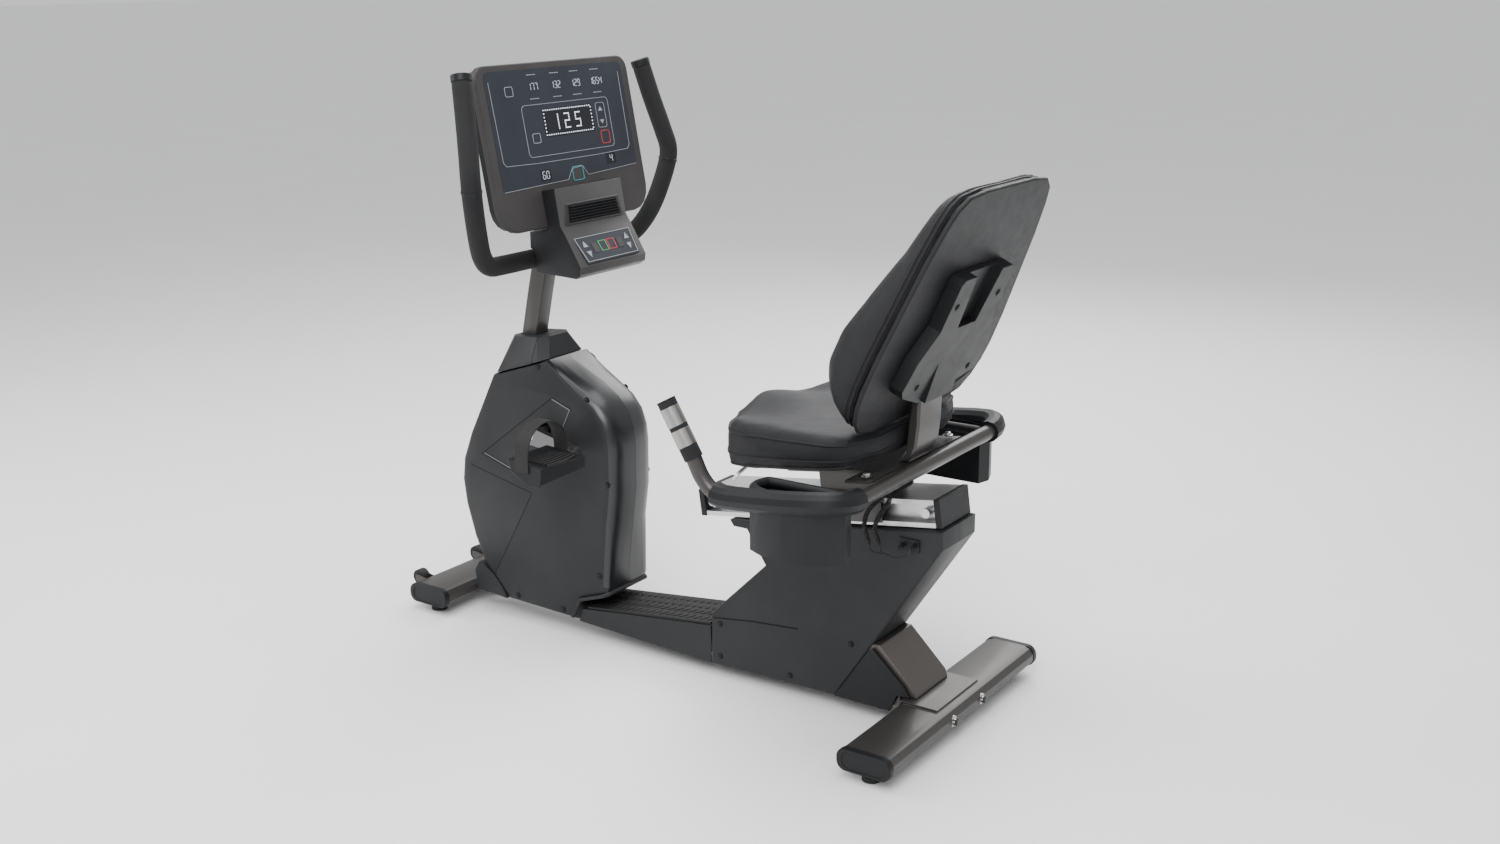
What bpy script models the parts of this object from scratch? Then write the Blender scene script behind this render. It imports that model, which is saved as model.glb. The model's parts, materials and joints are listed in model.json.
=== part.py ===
"""Recumbent exercise bike, modelled part by part in metres.

X runs along the bike from the console (-X) to the backrest (+X), Y runs across it with the
rider's left at -Y, and Z is up. The origin is on the floor, under the middle of the bike.
"""

import math

import bmesh
import bpy
from mathutils import Matrix, Vector

# Driving dimensions
GAP = 0.0003  # between pieces that touch
SHELL = 0.003  # wall of the moulded covers

ORIGIN_SHIFT = 0.0204  # from the drawing's zero to the middle of the bike's length

REAR_FOOT_X, FRONT_FOOT_X = 0.628, -0.691  # centre lines of the two stabilizers
REAR_FOOT_HALF, FRONT_FOOT_HALF = 0.320, 0.155
FOOT_WIDTH, FOOT_LOW, FOOT_HIGH = 0.120, 0.022, 0.068
LEVELLER_RADIUS = 0.019
WHEEL, WHEEL_RADIUS = (-0.769, 0.0605), 0.019  # (x, z) of the transport wheels' axle

BEAM_HALF, BEAM_LOW, BEAM_HIGH = 0.025, 0.030, 0.068
SHROUD_HALF, STEP_HALF, REAR_SHROUD_HALF = 0.076, 0.072, 0.072
STEP_SLOPE = math.radians(6.7)

CRANK = Vector((-0.370, 0.0, 0.490))  # middle of the crank axle
CRANK_LENGTH = 0.125
CRANK_ANGLE = math.radians(-9.2)
ARM_INNER, ARM_OUTER = 0.105, 0.121
PEDAL_INNER, PEDAL_OUTER = 0.145, 0.270
DRIVE_RADIUS, DRIVEN_RADIUS = 0.118, 0.016
FLYWHEEL = Vector((-0.305, 0.0, 0.258))
FLYWHEEL_RADIUS = 0.108
BELT_Y, BELT_WIDTH = 0.041, 0.010

POST_HALF = 0.0225
CONSOLE_TILT = math.radians(10.5)
CONSOLE_FOOT = Vector((-0.296, 0.0, 0.968))  # middle of the lower edge of the console's face
CONSOLE_HALF, CONSOLE_HEIGHT = 0.250, 0.352
BAR_RADIUS = 0.021

RAIL_TILT = math.radians(7.9)
RAIL_CENTRE = Vector((0.353, 0.0, 0.4345))
RAIL_LENGTH, RAIL_HALF, RAIL_HEIGHT = 0.560, 0.060, 0.057
ROLLER_RADIUS = 0.0178

SEAT_TUBE_RADIUS = 0.016
BACK_TILT = math.radians(24.0)
BACK_FOOT = Vector((0.556, 0.0, 0.689))  # on the rear face of the backrest, at its widest
LEVER_PIVOT = Vector((0.315, -0.090, 0.524))
CORD_RADIUS, COIL_RADIUS = 0.0015, 0.0052


# Scene, collections and materials

for old in list(bpy.data.objects):
    bpy.data.objects.remove(old, do_unlink=True)

PARTS = bpy.data.collections.new("recumbent_exercise_bike")
CUTTERS = bpy.data.collections.new("cutters")
for group in (PARTS, CUTTERS):
    bpy.context.scene.collection.children.link(group)
CUTTERS.hide_render = True


def material(name, colour, roughness, metallic=0.0):
    made = bpy.data.materials.new(name)
    made.use_nodes = True
    shader = made.node_tree.nodes["Principled BSDF"]
    shader.inputs["Base Color"].default_value = (*colour, 1.0)
    shader.inputs["Roughness"].default_value = roughness
    shader.inputs["Metallic"].default_value = metallic
    return made


GUNMETAL = material("gunmetal paint", (0.085, 0.080, 0.078), 0.42, 0.35)
SHROUD = material("charcoal plastic", (0.036, 0.037, 0.040), 0.55)
BLACK = material("black plastic", (0.016, 0.017, 0.019), 0.50)
RUBBER = material("black rubber", (0.018, 0.018, 0.018), 0.75)
FOAM = material("grip foam", (0.022, 0.022, 0.023), 0.85)
VINYL = material("black vinyl", (0.020, 0.020, 0.021), 0.48)
ALUMINIUM = material("brushed aluminium", (0.72, 0.72, 0.72), 0.32, 1.0)
STEEL = material("steel", (0.55, 0.55, 0.54), 0.35, 1.0)
BEZEL = material("console grey", (0.060, 0.056, 0.056), 0.55)
POD = material("pod grey", (0.13, 0.13, 0.13), 0.50)
CORD = material("cord", (0.015, 0.015, 0.015), 0.60)


# Shape helpers

def keep(name, mesh, look, group=PARTS):
    """Put a mesh in the scene as a named piece."""
    made = bpy.data.objects.new(name, mesh)
    group.objects.link(made)
    mesh.materials.clear()
    mesh.materials.append(look)
    if group is CUTTERS:
        made.hide_render = True
        made.display_type = "WIRE"
    return made


def evaluated_mesh(obj):
    """The object's shape with its modifiers, welded and in world space. The object is removed."""
    bpy.context.view_layer.update()
    graph = bpy.context.evaluated_depsgraph_get()
    mesh = bpy.data.meshes.new_from_object(obj.evaluated_get(graph))
    mesh.transform(obj.matrix_world)
    bpy.data.objects.remove(obj, do_unlink=True)
    work = bmesh.new()
    work.from_mesh(mesh)
    bmesh.ops.remove_doubles(work, verts=work.verts, dist=0.00002)
    bmesh.ops.recalc_face_normals(work, faces=work.faces)
    work.to_mesh(mesh)
    work.free()
    return mesh


def flat_outline(points, thickness):
    """A closed outline in the XY plane, thickened both ways along Z, as a curve object."""
    data = bpy.data.curves.new("outline", "CURVE")
    data.dimensions = "2D"
    data.fill_mode = "BOTH"
    data.extrude = thickness / 2
    line = data.splines.new("POLY")
    line.points.add(len(points) - 1)
    for point, (a, b) in zip(line.points, points):
        point.co = (a, b, 0.0, 1.0)
    line.use_cyclic_u = True
    made = bpy.data.objects.new("outline", data)
    PARTS.objects.link(made)
    return made


def side_prism(name, outline, y_from, y_to, look, group=PARTS):
    """An outline of (x, z) points, extruded across the bike."""
    flat = flat_outline(outline, abs(y_to - y_from))
    flat.rotation_euler = (math.pi / 2, 0.0, 0.0)
    flat.location = (0.0, (y_from + y_to) / 2, 0.0)
    return keep(name, evaluated_mesh(flat), look, group)


def plan_prism(name, outline, z_from, z_to, look, group=PARTS):
    """An outline of (x, y) points, extruded upwards."""
    flat = flat_outline(outline, z_to - z_from)
    flat.location = (0.0, 0.0, (z_from + z_to) / 2)
    return keep(name, evaluated_mesh(flat), look, group)


def cross_prism(name, outline, x_from, x_to, look, group=PARTS):
    """An outline of (y, z) points, extruded along the bike."""
    flat = flat_outline(outline, x_to - x_from)
    flat.matrix_world = Matrix.Translation(((x_from + x_to) / 2, 0.0, 0.0)) @ Matrix(
        ((0, 0, 1, 0), (1, 0, 0, 0), (0, 1, 0, 0), (0, 0, 0, 1))
    )
    return keep(name, evaluated_mesh(flat), look, group)


def box(name, low, high, look, group=PARTS):
    """A box between two corners."""
    low, high = Vector(low), Vector(high)
    mesh = bpy.data.meshes.new(name)
    work = bmesh.new()
    bmesh.ops.create_cube(work, size=1.0)
    work.to_mesh(mesh)
    work.free()
    mesh.transform(Matrix.Translation((low + high) / 2) @ Matrix.Diagonal((*(high - low), 1.0)))
    return keep(name, mesh, look, group)


def cylinder(name, start, end, radius, look, sides=24, tip_radius=None, group=PARTS):
    """A cylinder, or a cone when tip_radius is given, between two points."""
    start, end = Vector(start), Vector(end)
    mesh = bpy.data.meshes.new(name)
    work = bmesh.new()
    bmesh.ops.create_cone(
        work, cap_ends=True, segments=sides, radius1=radius,
        radius2=radius if tip_radius is None else tip_radius, depth=(end - start).length,
    )
    work.to_mesh(mesh)
    work.free()
    turn = (end - start).to_track_quat("Z", "Y").to_matrix().to_4x4()
    mesh.transform(Matrix.Translation((start + end) / 2) @ turn)
    return keep(name, mesh, look, group)


def tube(name, points, radius, look, resolution=4, group=PARTS):
    """A round bar along a list of points."""
    data = bpy.data.curves.new(name, "CURVE")
    data.dimensions = "3D"
    data.bevel_depth = radius
    data.bevel_resolution = resolution
    data.use_fill_caps = True
    line = data.splines.new("POLY")
    line.points.add(len(points) - 1)
    for point, place in zip(line.points, points):
        point.co = (*place, 1.0)
    made = bpy.data.objects.new(name, data)
    PARTS.objects.link(made)
    return keep(name, evaluated_mesh(made), look, group)


def smooth_line(points, steps):
    """A Catmull-Rom curve through the points, with `steps` points in each stretch."""
    places = [Vector(p) for p in points]
    places = [2 * places[0] - places[1], *places, 2 * places[-1] - places[-2]]
    line = []
    for a, b, c, d in zip(places, places[1:], places[2:], places[3:]):
        for step in range(steps):
            t = step / steps
            line.append(0.5 * (2 * b + (c - a) * t + (2 * a - 5 * b + 4 * c - d) * t * t
                               + (3 * b - a - 3 * c + d) * t ** 3))
    return [*line, places[-2]]


def loft(name, rings, look, group=PARTS, striped=False):
    """A closed solid through rings that hold the same number of points.

    A striped one has a curved last face, closed by strips between the ring's mirrored points.
    """
    mesh = bpy.data.meshes.new(name)
    work = bmesh.new()
    loops = [[work.verts.new(p) for p in ring] for ring in rings]
    count = len(loops[0])
    for lower, upper in zip(loops, loops[1:]):
        for i in range(count):
            j = (i + 1) % count
            work.faces.new((lower[i], lower[j], upper[j], upper[i]))
    work.faces.new(loops[0])
    last = loops[-1]
    if striped:
        for i in range(count // 2 - 1):
            work.faces.new((last[i], last[i + 1], last[-2 - i], last[-1 - i]))
    else:
        work.faces.new(last)
    bmesh.ops.recalc_face_normals(work, faces=work.faces)
    work.to_mesh(mesh)
    work.free()
    return keep(name, mesh, look, group)


def boolean(piece, other, operation):
    """Cut, join or intersect a piece with another one, which becomes a hidden helper."""
    for group in list(other.users_collection):
        group.objects.unlink(other)
    CUTTERS.objects.link(other)
    other.hide_render = True
    other.display_type = "WIRE"
    step = piece.modifiers.new(operation.lower(), "BOOLEAN")
    step.operation = operation
    step.object = other
    step.solver = "EXACT"
    return piece


def cut(piece, *others):
    for other in others:
        boolean(piece, other, "DIFFERENCE")
    return piece


def join(piece, *others):
    for other in others:
        boolean(piece, other, "UNION")
    return piece


def soften(piece, width, segments=2, angle=40):
    """Round the piece's edges."""
    step = piece.modifiers.new("soften", "BEVEL")
    step.width = width
    step.segments = segments
    step.limit_method = "ANGLE"
    step.angle_limit = math.radians(angle)
    return piece


def mirrored(points):
    """The points of a right half outline, followed by their mirror images, for (y, ...) points."""
    return [*points, *[(-a, b) for a, b in reversed(points) if abs(a) > 1e-6]]


def inset(outline, distance):
    """The outline moved inwards by a distance. It runs counter-clockwise or clockwise."""
    points = [Vector(p) for p in outline]
    area = sum(a.x * b.y - a.y * b.x for a, b in zip(points, points[1:] + points[:1]))
    side = 1.0 if area > 0 else -1.0
    moved = []
    for before, here, after in zip(points[-1:] + points[:-1], points, points[1:] + points[:1]):
        first, second = (here - before).normalized(), (after - here).normalized()
        n1 = Vector((-first.y, first.x)) * side
        n2 = Vector((-second.y, second.x)) * side
        moved.append(here + (n1 + n2) * distance / max(1.0 + n1.dot(n2), 0.3))
    return [tuple(p) for p in moved]


def arc(centre, radius, start, end, steps):
    """Points on an arc in a plane, with its angles in degrees."""
    angles = [math.radians(start + (end - start) * i / steps) for i in range(steps + 1)]
    return [(centre[0] + radius * math.cos(a), centre[1] + radius * math.sin(a)) for a in angles]


def capsule(centre, width, height, steps=5):
    """A flat oval outline with round ends."""
    radius = height / 2
    reach = width / 2 - radius
    right = arc((centre[0] + reach, centre[1]), radius, -90, 90, steps)
    left = arc((centre[0] - reach, centre[1]), radius, 90, 270, steps)
    return right + left


def on_rail(along, up):
    """(x, z) of a point measured along the seat rail and square to it, from the rail's middle."""
    turn = Matrix.Rotation(RAIL_TILT, 2)
    return tuple(Vector((RAIL_CENTRE.x, RAIL_CENTRE.z)) + turn @ Vector((along, up)))


def rail_box(along_from, along_to, up_from, up_to):
    return [on_rail(along_from, up_from), on_rail(along_to, up_from),
            on_rail(along_to, up_to), on_rail(along_from, up_to)]


def on_back(up, out):
    """(x, z) of a point measured up the backrest's rear face and out from it to the rear."""
    return (BACK_FOOT.x + up * math.sin(BACK_TILT) + out * math.cos(BACK_TILT),
            BACK_FOOT.z + up * math.cos(BACK_TILT) - out * math.sin(BACK_TILT))


def on_console(up, out):
    """(x, z) of a point measured up the console's face and out from it towards the rider."""
    return (CONSOLE_FOOT.x - up * math.sin(CONSOLE_TILT) + out * math.cos(CONSOLE_TILT),
            CONSOLE_FOOT.z + up * math.cos(CONSOLE_TILT) + out * math.sin(CONSOLE_TILT))


def stand_up(piece, place, tilt):
    """Turn a piece drawn flat in XY, with its up along +Y, to lean with its up along the tilt."""
    across = Vector((0.0, 1.0, 0.0))
    up = Vector((math.sin(tilt), 0.0, math.cos(tilt)))
    out = across.cross(up)
    frame = Matrix((across, up, out)).transposed().to_4x4()
    piece.data.transform(Matrix.Translation(place) @ frame)
    piece.data.update()
    return piece


# Floor frame

def stabilizer(name, x, half):
    outline = [(x + a, b) for a, b in capsule((0.0, (FOOT_LOW + FOOT_HIGH) / 2), FOOT_WIDTH,
                                              FOOT_HIGH - FOOT_LOW)]
    return side_prism(name, outline, -half, half, GUNMETAL)


def leveller(name, x, y):
    """A levelling foot: a round pad on a short threaded stem."""
    foot = cylinder(name, (x, y, 0.0), (x, y, 0.012), LEVELLER_RADIUS, RUBBER, 20)
    stem = cylinder("stem", (x, y, 0.010), (x, y, FOOT_LOW - GAP), 0.006, STEEL, 12)
    return join(foot, stem)


def floor_frame():
    rear = stabilizer("rear_stabilizer", REAR_FOOT_X, REAR_FOOT_HALF)
    join(rear, box("mount_plate", (0.575, -0.089, FOOT_HIGH - 0.002), (0.662, 0.089, FOOT_HIGH + 0.004),
                   GUNMETAL))
    for y in (-0.062, 0.062):
        join(rear, cylinder("bolt", (REAR_FOOT_X + 0.055, y, 0.045), (REAR_FOOT_X + 0.069, y, 0.045),
                            0.0085, STEEL, 6))
    front = stabilizer("front_stabilizer", FRONT_FOOT_X, FRONT_FOOT_HALF)
    for side, word in ((-1, "left"), (1, "right")):
        leveller(f"levelling_foot_rear_{word}", REAR_FOOT_X, side * 0.290)
        leveller(f"levelling_foot_front_{word}", FRONT_FOOT_X, side * 0.122)
        transport_wheel(front, side, word)


def transport_wheel(stabilizer_piece, side, word):
    """A small wheel on a fork in front of the front stabilizer."""
    x, z = WHEEL
    for y in (0.0875, 0.1125):
        cheek = side_prism("cheek", [(x - 0.007, z - 0.007), (x + 0.030, 0.036), (x + 0.050, 0.036),
                                     (x + 0.050, 0.060), (x + 0.005, z + 0.008), (x - 0.007, z + 0.007)],
                           side * (y - 0.0015), side * (y + 0.0015), GUNMETAL)
        join(stabilizer_piece, cheek)
    join(stabilizer_piece, cylinder("pin", (x, side * 0.0855, z), (x, side * 0.1145, z), 0.0035, STEEL, 12))
    wheel = cylinder(f"transport_wheel_{word}", (x, side * 0.0895, z), (x, side * 0.1105, z), WHEEL_RADIUS,
                     RUBBER)
    cut(wheel, cylinder("bore", (x, side * 0.07, z), (x, side * 0.13, z), 0.0039, STEEL, 12))


def main_frame():
    """Floor beam, front upright, crank shell, flywheel fork and rail post, welded together."""
    frame = box("main_frame", (FRONT_FOOT_X + FOOT_WIDTH / 2 + GAP, -BEAM_HALF, BEAM_LOW),
                (0.3997, BEAM_HALF, BEAM_HIGH), GUNMETAL)
    upright = box("upright", (-0.480, -0.018, 0.050), (-0.444, 0.018, 0.640), GUNMETAL)
    shell = cylinder("crank_shell", (CRANK.x, -0.033, CRANK.z), (CRANK.x, 0.033, CRANK.z), 0.024, GUNMETAL)
    web = side_prism("web", [(-0.450, 0.440), (CRANK.x, CRANK.z - 0.022), (CRANK.x, CRANK.z + 0.022),
                             (-0.450, 0.540)], -0.012, 0.012, GUNMETAL)
    join(frame, upright, web, shell)
    for side in (-1, 1):
        fork = side_prism("fork", [(FLYWHEEL.x - 0.018, 0.050), (FLYWHEEL.x + 0.017, 0.050),
                                   (FLYWHEEL.x + 0.018, FLYWHEEL.z + 0.018),
                                   (FLYWHEEL.x - 0.018, FLYWHEEL.z + 0.018)],
                          side * 0.0225, side * 0.0285, GUNMETAL)
        join(frame, fork)
    post = side_prism("rail_post", [(0.290, 0.050), (0.350, 0.050), (0.400, 0.4055), (0.320, 0.3944)],
                      -0.020, 0.020, GUNMETAL)
    join(frame, post)
    cut(frame,
        cylinder("crank_bore", (CRANK.x, -0.05, CRANK.z), (CRANK.x, 0.05, CRANK.z), 0.0108, STEEL),
        cylinder("flywheel_bore", (FLYWHEEL.x, -0.05, FLYWHEEL.z), (FLYWHEEL.x, 0.05, FLYWHEEL.z),
                 0.0086, STEEL, 16))


def rear_leg():
    """The folded steel leg that carries the beam's rear end down to the rear stabilizer."""
    side_prism("rear_leg", [(0.400, 0.046), (0.566, 0.046), (0.566, 0.0726), (0.604, 0.0726),
                            (0.598, 0.090), (0.515, 0.171), (0.400, 0.171)], -0.068, 0.068, GUNMETAL)


# Crank drive

def crank_drive():
    sides = 24
    cylinder("crank_axle", (CRANK.x, -0.119, CRANK.z), (CRANK.x, 0.119, CRANK.z), 0.0100, STEEL, sides)
    pulley = cylinder("drive_pulley", (CRANK.x, BELT_Y - 0.006, CRANK.z), (CRANK.x, BELT_Y + 0.006, CRANK.z),
                      DRIVE_RADIUS, BLACK, 40)
    cut(pulley, cylinder("axle_bore", (CRANK.x, 0.0, CRANK.z), (CRANK.x, 0.1, CRANK.z), 0.0104, STEEL, sides))
    for turn in range(5):
        angle = math.radians(72 * turn + 18)
        x, z = CRANK.x + 0.066 * math.cos(angle), CRANK.z + 0.066 * math.sin(angle)
        cut(pulley, cylinder("window", (x, 0.0, z), (x, 0.1, z), 0.026, BLACK, 14))
    for side, word in ((-1, "left"), (1, "right")):
        crank_arm(side, word)
        pedal(side, word)
        pedal_strap(side, word)


def pedal_axis(side):
    """(x, z) of a pedal's spindle. The left one is the one to the rear."""
    reach = -side * CRANK_LENGTH
    return CRANK.x + reach * math.cos(CRANK_ANGLE), CRANK.z + reach * math.sin(CRANK_ANGLE)


def crank_arm(side, word):
    x, z = pedal_axis(side)
    heading = math.degrees(math.atan2(z - CRANK.z, x - CRANK.x))
    outline = (arc((CRANK.x, CRANK.z), 0.021, heading + 80, heading + 280, 8)
               + arc((x, z), 0.014, heading - 80, heading + 80, 6))
    arm = side_prism(f"crank_arm_{word}", outline, side * ARM_INNER, side * ARM_OUTER, STEEL)
    join(arm, cylinder("spindle", (x, side * 0.112, z), (x, side * 0.262, z), 0.0070, STEEL, 16))
    cut(arm, cylinder("arm_bore", (CRANK.x, side * 0.09, CRANK.z), (CRANK.x, side * 0.14, CRANK.z),
                      0.0104, STEEL))


def pedal(side, word):
    """A broad pedal, deep on its outer side, around its spindle."""
    x, z = pedal_axis(side)
    outer = [(-0.055, 0.016), (0.042, 0.008), (0.038, -0.030), (0.008, -0.040), (-0.045, -0.012)]
    inner = [(-0.050, 0.017), (0.062, 0.010), (0.060, -0.015), (0.010, -0.018), (-0.044, -0.010)]
    rings = [[(x + a, side * PEDAL_OUTER, z + b) for a, b in outer],
             [(x + a, side * PEDAL_INNER, z + b) for a, b in inner]]
    body = loft(f"pedal_{word}", rings, BLACK)
    cut(body, cylinder("spindle_bore", (x, side * 0.13, z), (x, side * 0.264, z), 0.0075, STEEL, 16))


def pedal_strap(side, word):
    """A rubber strap that arches over the pedal from its inner to its outer side."""
    x, z = pedal_axis(side)
    middle = side * (PEDAL_INNER + PEDAL_OUTER) / 2
    outer_foot, inner_foot = z - 0.008, z + 0.0085
    feet = (outer_foot, inner_foot)[::side]

    def arch(half, rise):
        angles = [math.pi * i / 12 for i in range(13)]
        top = [(middle + half * math.cos(a), z + 0.021 + rise * math.sin(a) ** 0.8) for a in angles]
        return [(middle + half, feet[0]), *top, (middle - half, feet[1])]

    clear = (PEDAL_OUTER - PEDAL_INNER) / 2 + GAP
    outline = arch(clear + 0.003, 0.074) + arch(clear, 0.071)[::-1]
    cross_prism(f"pedal_strap_{word}", outline, x - 0.030, x + 0.008, RUBBER)


def flywheel():
    """Eddy-current flywheel with its axle and its small belt pulley."""
    x, z = FLYWHEEL.x, FLYWHEEL.z
    wheel = cylinder("flywheel", (x, -0.018, z), (x, 0.018, z), FLYWHEEL_RADIUS, STEEL, 40)
    join(wheel, cylinder("axle", (x, -0.034, z), (x, 0.050, z), 0.0080, STEEL, 16))
    join(wheel, cylinder("small_pulley", (x, BELT_Y - 0.007, z), (x, BELT_Y + 0.007, z), DRIVEN_RADIUS,
                         STEEL, 20))


def belt_outline(extra):
    """The belt's path around both pulleys, `extra` outside their rims."""
    start, end = Vector((CRANK.x, CRANK.z)), Vector((FLYWHEEL.x, FLYWHEEL.z))
    large, small = DRIVE_RADIUS + extra, DRIVEN_RADIUS + extra
    span = end - start
    heading = math.degrees(math.atan2(span.y, span.x))
    lean = math.degrees(math.acos((large - small) / span.length))
    return (arc(start, large, heading + lean, heading + 360 - lean, 22)
            + arc(end, small, heading - lean, heading + lean, 8))


def drive_belt():
    belt = side_prism("drive_belt", belt_outline(0.0035), BELT_Y - BELT_WIDTH / 2, BELT_Y + BELT_WIDTH / 2,
                      RUBBER)
    cut(belt, side_prism("belt_inside", belt_outline(0.0008), BELT_Y - 0.02, BELT_Y + 0.02, RUBBER))


def brake_magnets():
    """A saddle of magnets over the flywheel's rim, on an arm from the upright."""
    low, high = FLYWHEEL.z + FLYWHEEL_RADIUS - 0.020, FLYWHEEL.z + FLYWHEEL_RADIUS + 0.016
    saddle = box("brake_magnets", (-0.335, -0.0300, low), (-0.275, 0.0300, high), STEEL)
    cut(saddle, box("saddle_gap", (-0.4, -0.0215, low - 0.1), (-0.2, 0.0215, high - 0.008), STEEL))
    join(saddle, box("saddle_arm", (-0.444 + GAP, -0.010, high - 0.007), (-0.300, 0.010, high), STEEL))


# Covers

SHROUD_OUTLINE = [
    (-0.519, 0.604), (-0.352, 0.6575), (-0.246, 0.606), (-0.206, 0.580), (-0.179, 0.548),
    (-0.165, 0.510), (-0.161, 0.473), (-0.163, 0.367), (-0.175, 0.287), (-0.194, 0.142), (-0.198, 0.124),
    (-0.272, 0.100), (-0.288, 0.045), (-0.504, 0.050), (-0.577, 0.126), (-0.606, 0.190), (-0.629, 0.270),
    (-0.636, 0.330), (-0.628, 0.385), (-0.600, 0.452),
]


SHROUD_LEVELS = [  # (distance from the seam, inset, inset where the rim is crowned)
    (GAP, 0.0, 0.0), (0.036, 0.0, 0.002), (0.054, 0.0, 0.007), (0.063, 0.0, 0.012), (0.0715, 0.003, 0.021),
    (SHROUD_HALF, 0.013, 0.034),
]
CROWNED = range(2, 9)  # the points of the shroud's outline that face the rider


def casing_half(name, outline, side, levels, look, crowned=()):
    """Half a hollow casing, open at its seam, with its side wall rounded into its rim."""
    def solid(piece_name, wall):
        rings = []
        for number, (y, inward, crown) in enumerate(levels):
            flat, rounded = inset(outline, inward + wall), inset(outline, crown + wall)
            depth = y - wall * number / (len(levels) - 1) if number or not wall else -0.050
            rings.append([(x, side * depth, z) for x, z in
                          [rounded[i] if i in crowned else flat[i] for i in range(len(outline))]])
        return loft(piece_name, rings, look)

    return cut(solid(name, 0.0), solid("hollow", SHELL))


def shroud():
    """Two moulded halves around the drive, open below, at the neck and where the crank comes out."""
    for side, word in ((-1, "left"), (1, "right")):
        half = casing_half(f"shroud_{word}", SHROUD_OUTLINE, side, SHROUD_LEVELS, SHROUD, CROWNED)
        cut(half,
            box("open_floor", (-0.498, -0.068, 0.02), (-0.296, 0.068, 0.07), SHROUD),
            box("beam_way", (-0.700, -BEAM_HALF - 0.005, 0.01), (-0.100, BEAM_HALF + 0.005, BEAM_HIGH + 0.006),
                SHROUD),
            box("neck_way", (-0.500, -0.030, 0.580), (-0.405, 0.030, 0.700), SHROUD),
            cylinder("crank_way", (CRANK.x, side * 0.05, CRANK.z), (CRANK.x, side * 0.1, CRANK.z), 0.024,
                     SHROUD))


def neck_ring(inward, x_front, x_rear, z_front, z_rear):
    """One level of the neck cover: a rectangle with cut corners, on a plane that rises to the rear."""
    half, corner = SHROUD_HALF - inward, 0.020
    plan = [(x_front, half - corner), (x_front + corner, half), (x_rear - corner, half),
            (x_rear, half - corner)]
    plan += [(x, -y) for x, y in reversed(plan)]
    rise = (z_rear - z_front) / (x_rear - x_front)
    return [(x, y, z_front + rise * (x - x_front)) for x, y in plan]


def neck_covers():
    """A two-piece tapered cover where the console post leaves the shroud."""
    seam = -0.396
    for name, x_from, x_to in (("neck_cover_front", -0.6, seam - GAP / 2), ("neck_cover_rear", seam, -0.3)):
        lower = neck_ring(0.0, -0.521, -0.356, 0.6045, 0.6575)
        upper = neck_ring(0.026, -0.484, -0.376, 0.694, 0.703)
        cover = loft(name, [lower, upper], SHROUD)
        cut(cover,
            loft("neck_hollow", [neck_ring(SHELL, -0.518, -0.359, 0.59, 0.645),
                                 neck_ring(0.029, -0.481, -0.379, 0.689, 0.698)], SHROUD),
            box("post_way", (-0.473, -POST_HALF - 0.002, 0.60), (-0.422, POST_HALF + 0.002, 0.75), SHROUD),
            box("below_neck", (-0.6, -0.1, 0.50), (x_from, 0.1, 0.80), SHROUD),
            box("beyond_seam", (x_to, -0.1, 0.50), (-0.2, 0.1, 0.80), SHROUD))


def step_line(x):
    return 0.081 + (x + 0.272) * math.tan(STEP_SLOPE)


def beam_cover():
    """The cover over the floor beam, with the tread plate riders step on."""
    front, rear, plate = -0.262, 0.0925, 0.006
    outline = [(-0.286, 0.042), (-0.275, step_line(-0.275) - plate), (rear, step_line(rear) - plate),
               (rear, 0.029)]
    cover = side_prism("beam_cover", outline, -STEP_HALF, STEP_HALF, SHROUD)
    under = [(-0.4, -0.1), (-0.4, step_line(-0.4) - plate - SHELL), (0.2, step_line(0.2) - plate - SHELL),
             (0.2, -0.1)]
    cut(cover, side_prism("under_cover", under, -STEP_HALF + SHELL, STEP_HALF - SHELL, SHROUD))
    tread = [(front, step_line(front) - plate + GAP), (rear - 0.004, step_line(rear - 0.004) - plate + GAP),
             (rear - 0.004, step_line(rear - 0.004)), (front, step_line(front))]
    side_prism("step_plate", tread, -0.068, 0.068, BLACK)


REAR_SHROUD_OUTLINE = [(0.094, 0.029), (0.411, 0.035), (0.655, 0.404), (0.655, 0.4425), (0.640, 0.4425), (0.146, 0.3735),
                       (0.156, 0.360), (0.190, 0.360), (0.237, 0.288), (0.094, 0.148)]


REAR_SHROUD_LEVELS = [(GAP, 0.0, 0.0), (0.068, 0.0, 0.0), (0.0706, 0.001, 0.001),
                      (REAR_SHROUD_HALF, 0.004, 0.004)]


def rear_shroud():
    """Two moulded halves under the seat rail, open to the leg and to the rail post."""
    for side, word in ((-1, "left"), (1, "right")):
        half = casing_half(f"rear_shroud_{word}", REAR_SHROUD_OUTLINE, side, REAR_SHROUD_LEVELS, SHROUD)
        cut(half,
            box("rear_floor", (0.098, -0.067, 0.0), (0.408, 0.067, 0.06), SHROUD),
            box("beam_mouth", (0.0, -BEAM_HALF - 0.002, 0.0), (0.2, BEAM_HALF + 0.002, BEAM_HIGH + 0.004),
                SHROUD),
            box("leg_mouth", (0.395, -0.0685, 0.02), (0.6, 0.0685, 0.173), SHROUD),
            box("post_mouth", (0.315, -0.022, 0.3), (0.405, 0.022, 0.5), SHROUD))


def leg_covers():
    """Side covers over the foot of the rear leg."""
    outline = [(0.4125, 0.035), (0.4930, 0.1565), (0.503, 0.163), (0.577, 0.096), (0.592, 0.074),
               (0.562, 0.074), (0.545, 0.035)]
    for side, word in ((-1, "left"), (1, "right")):
        side_prism(f"leg_cover_{word}", outline, side * 0.0685, side * 0.0765, SHROUD)


# Console, post and handlebar

POST_LINE = [(-0.4475, 0.6408), (-0.4475, 0.700), (-0.4255, 0.795), (-0.4105, 0.855), (-0.401, 0.924),
             (-0.392, 1.010), (-0.382, 1.075)]


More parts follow.
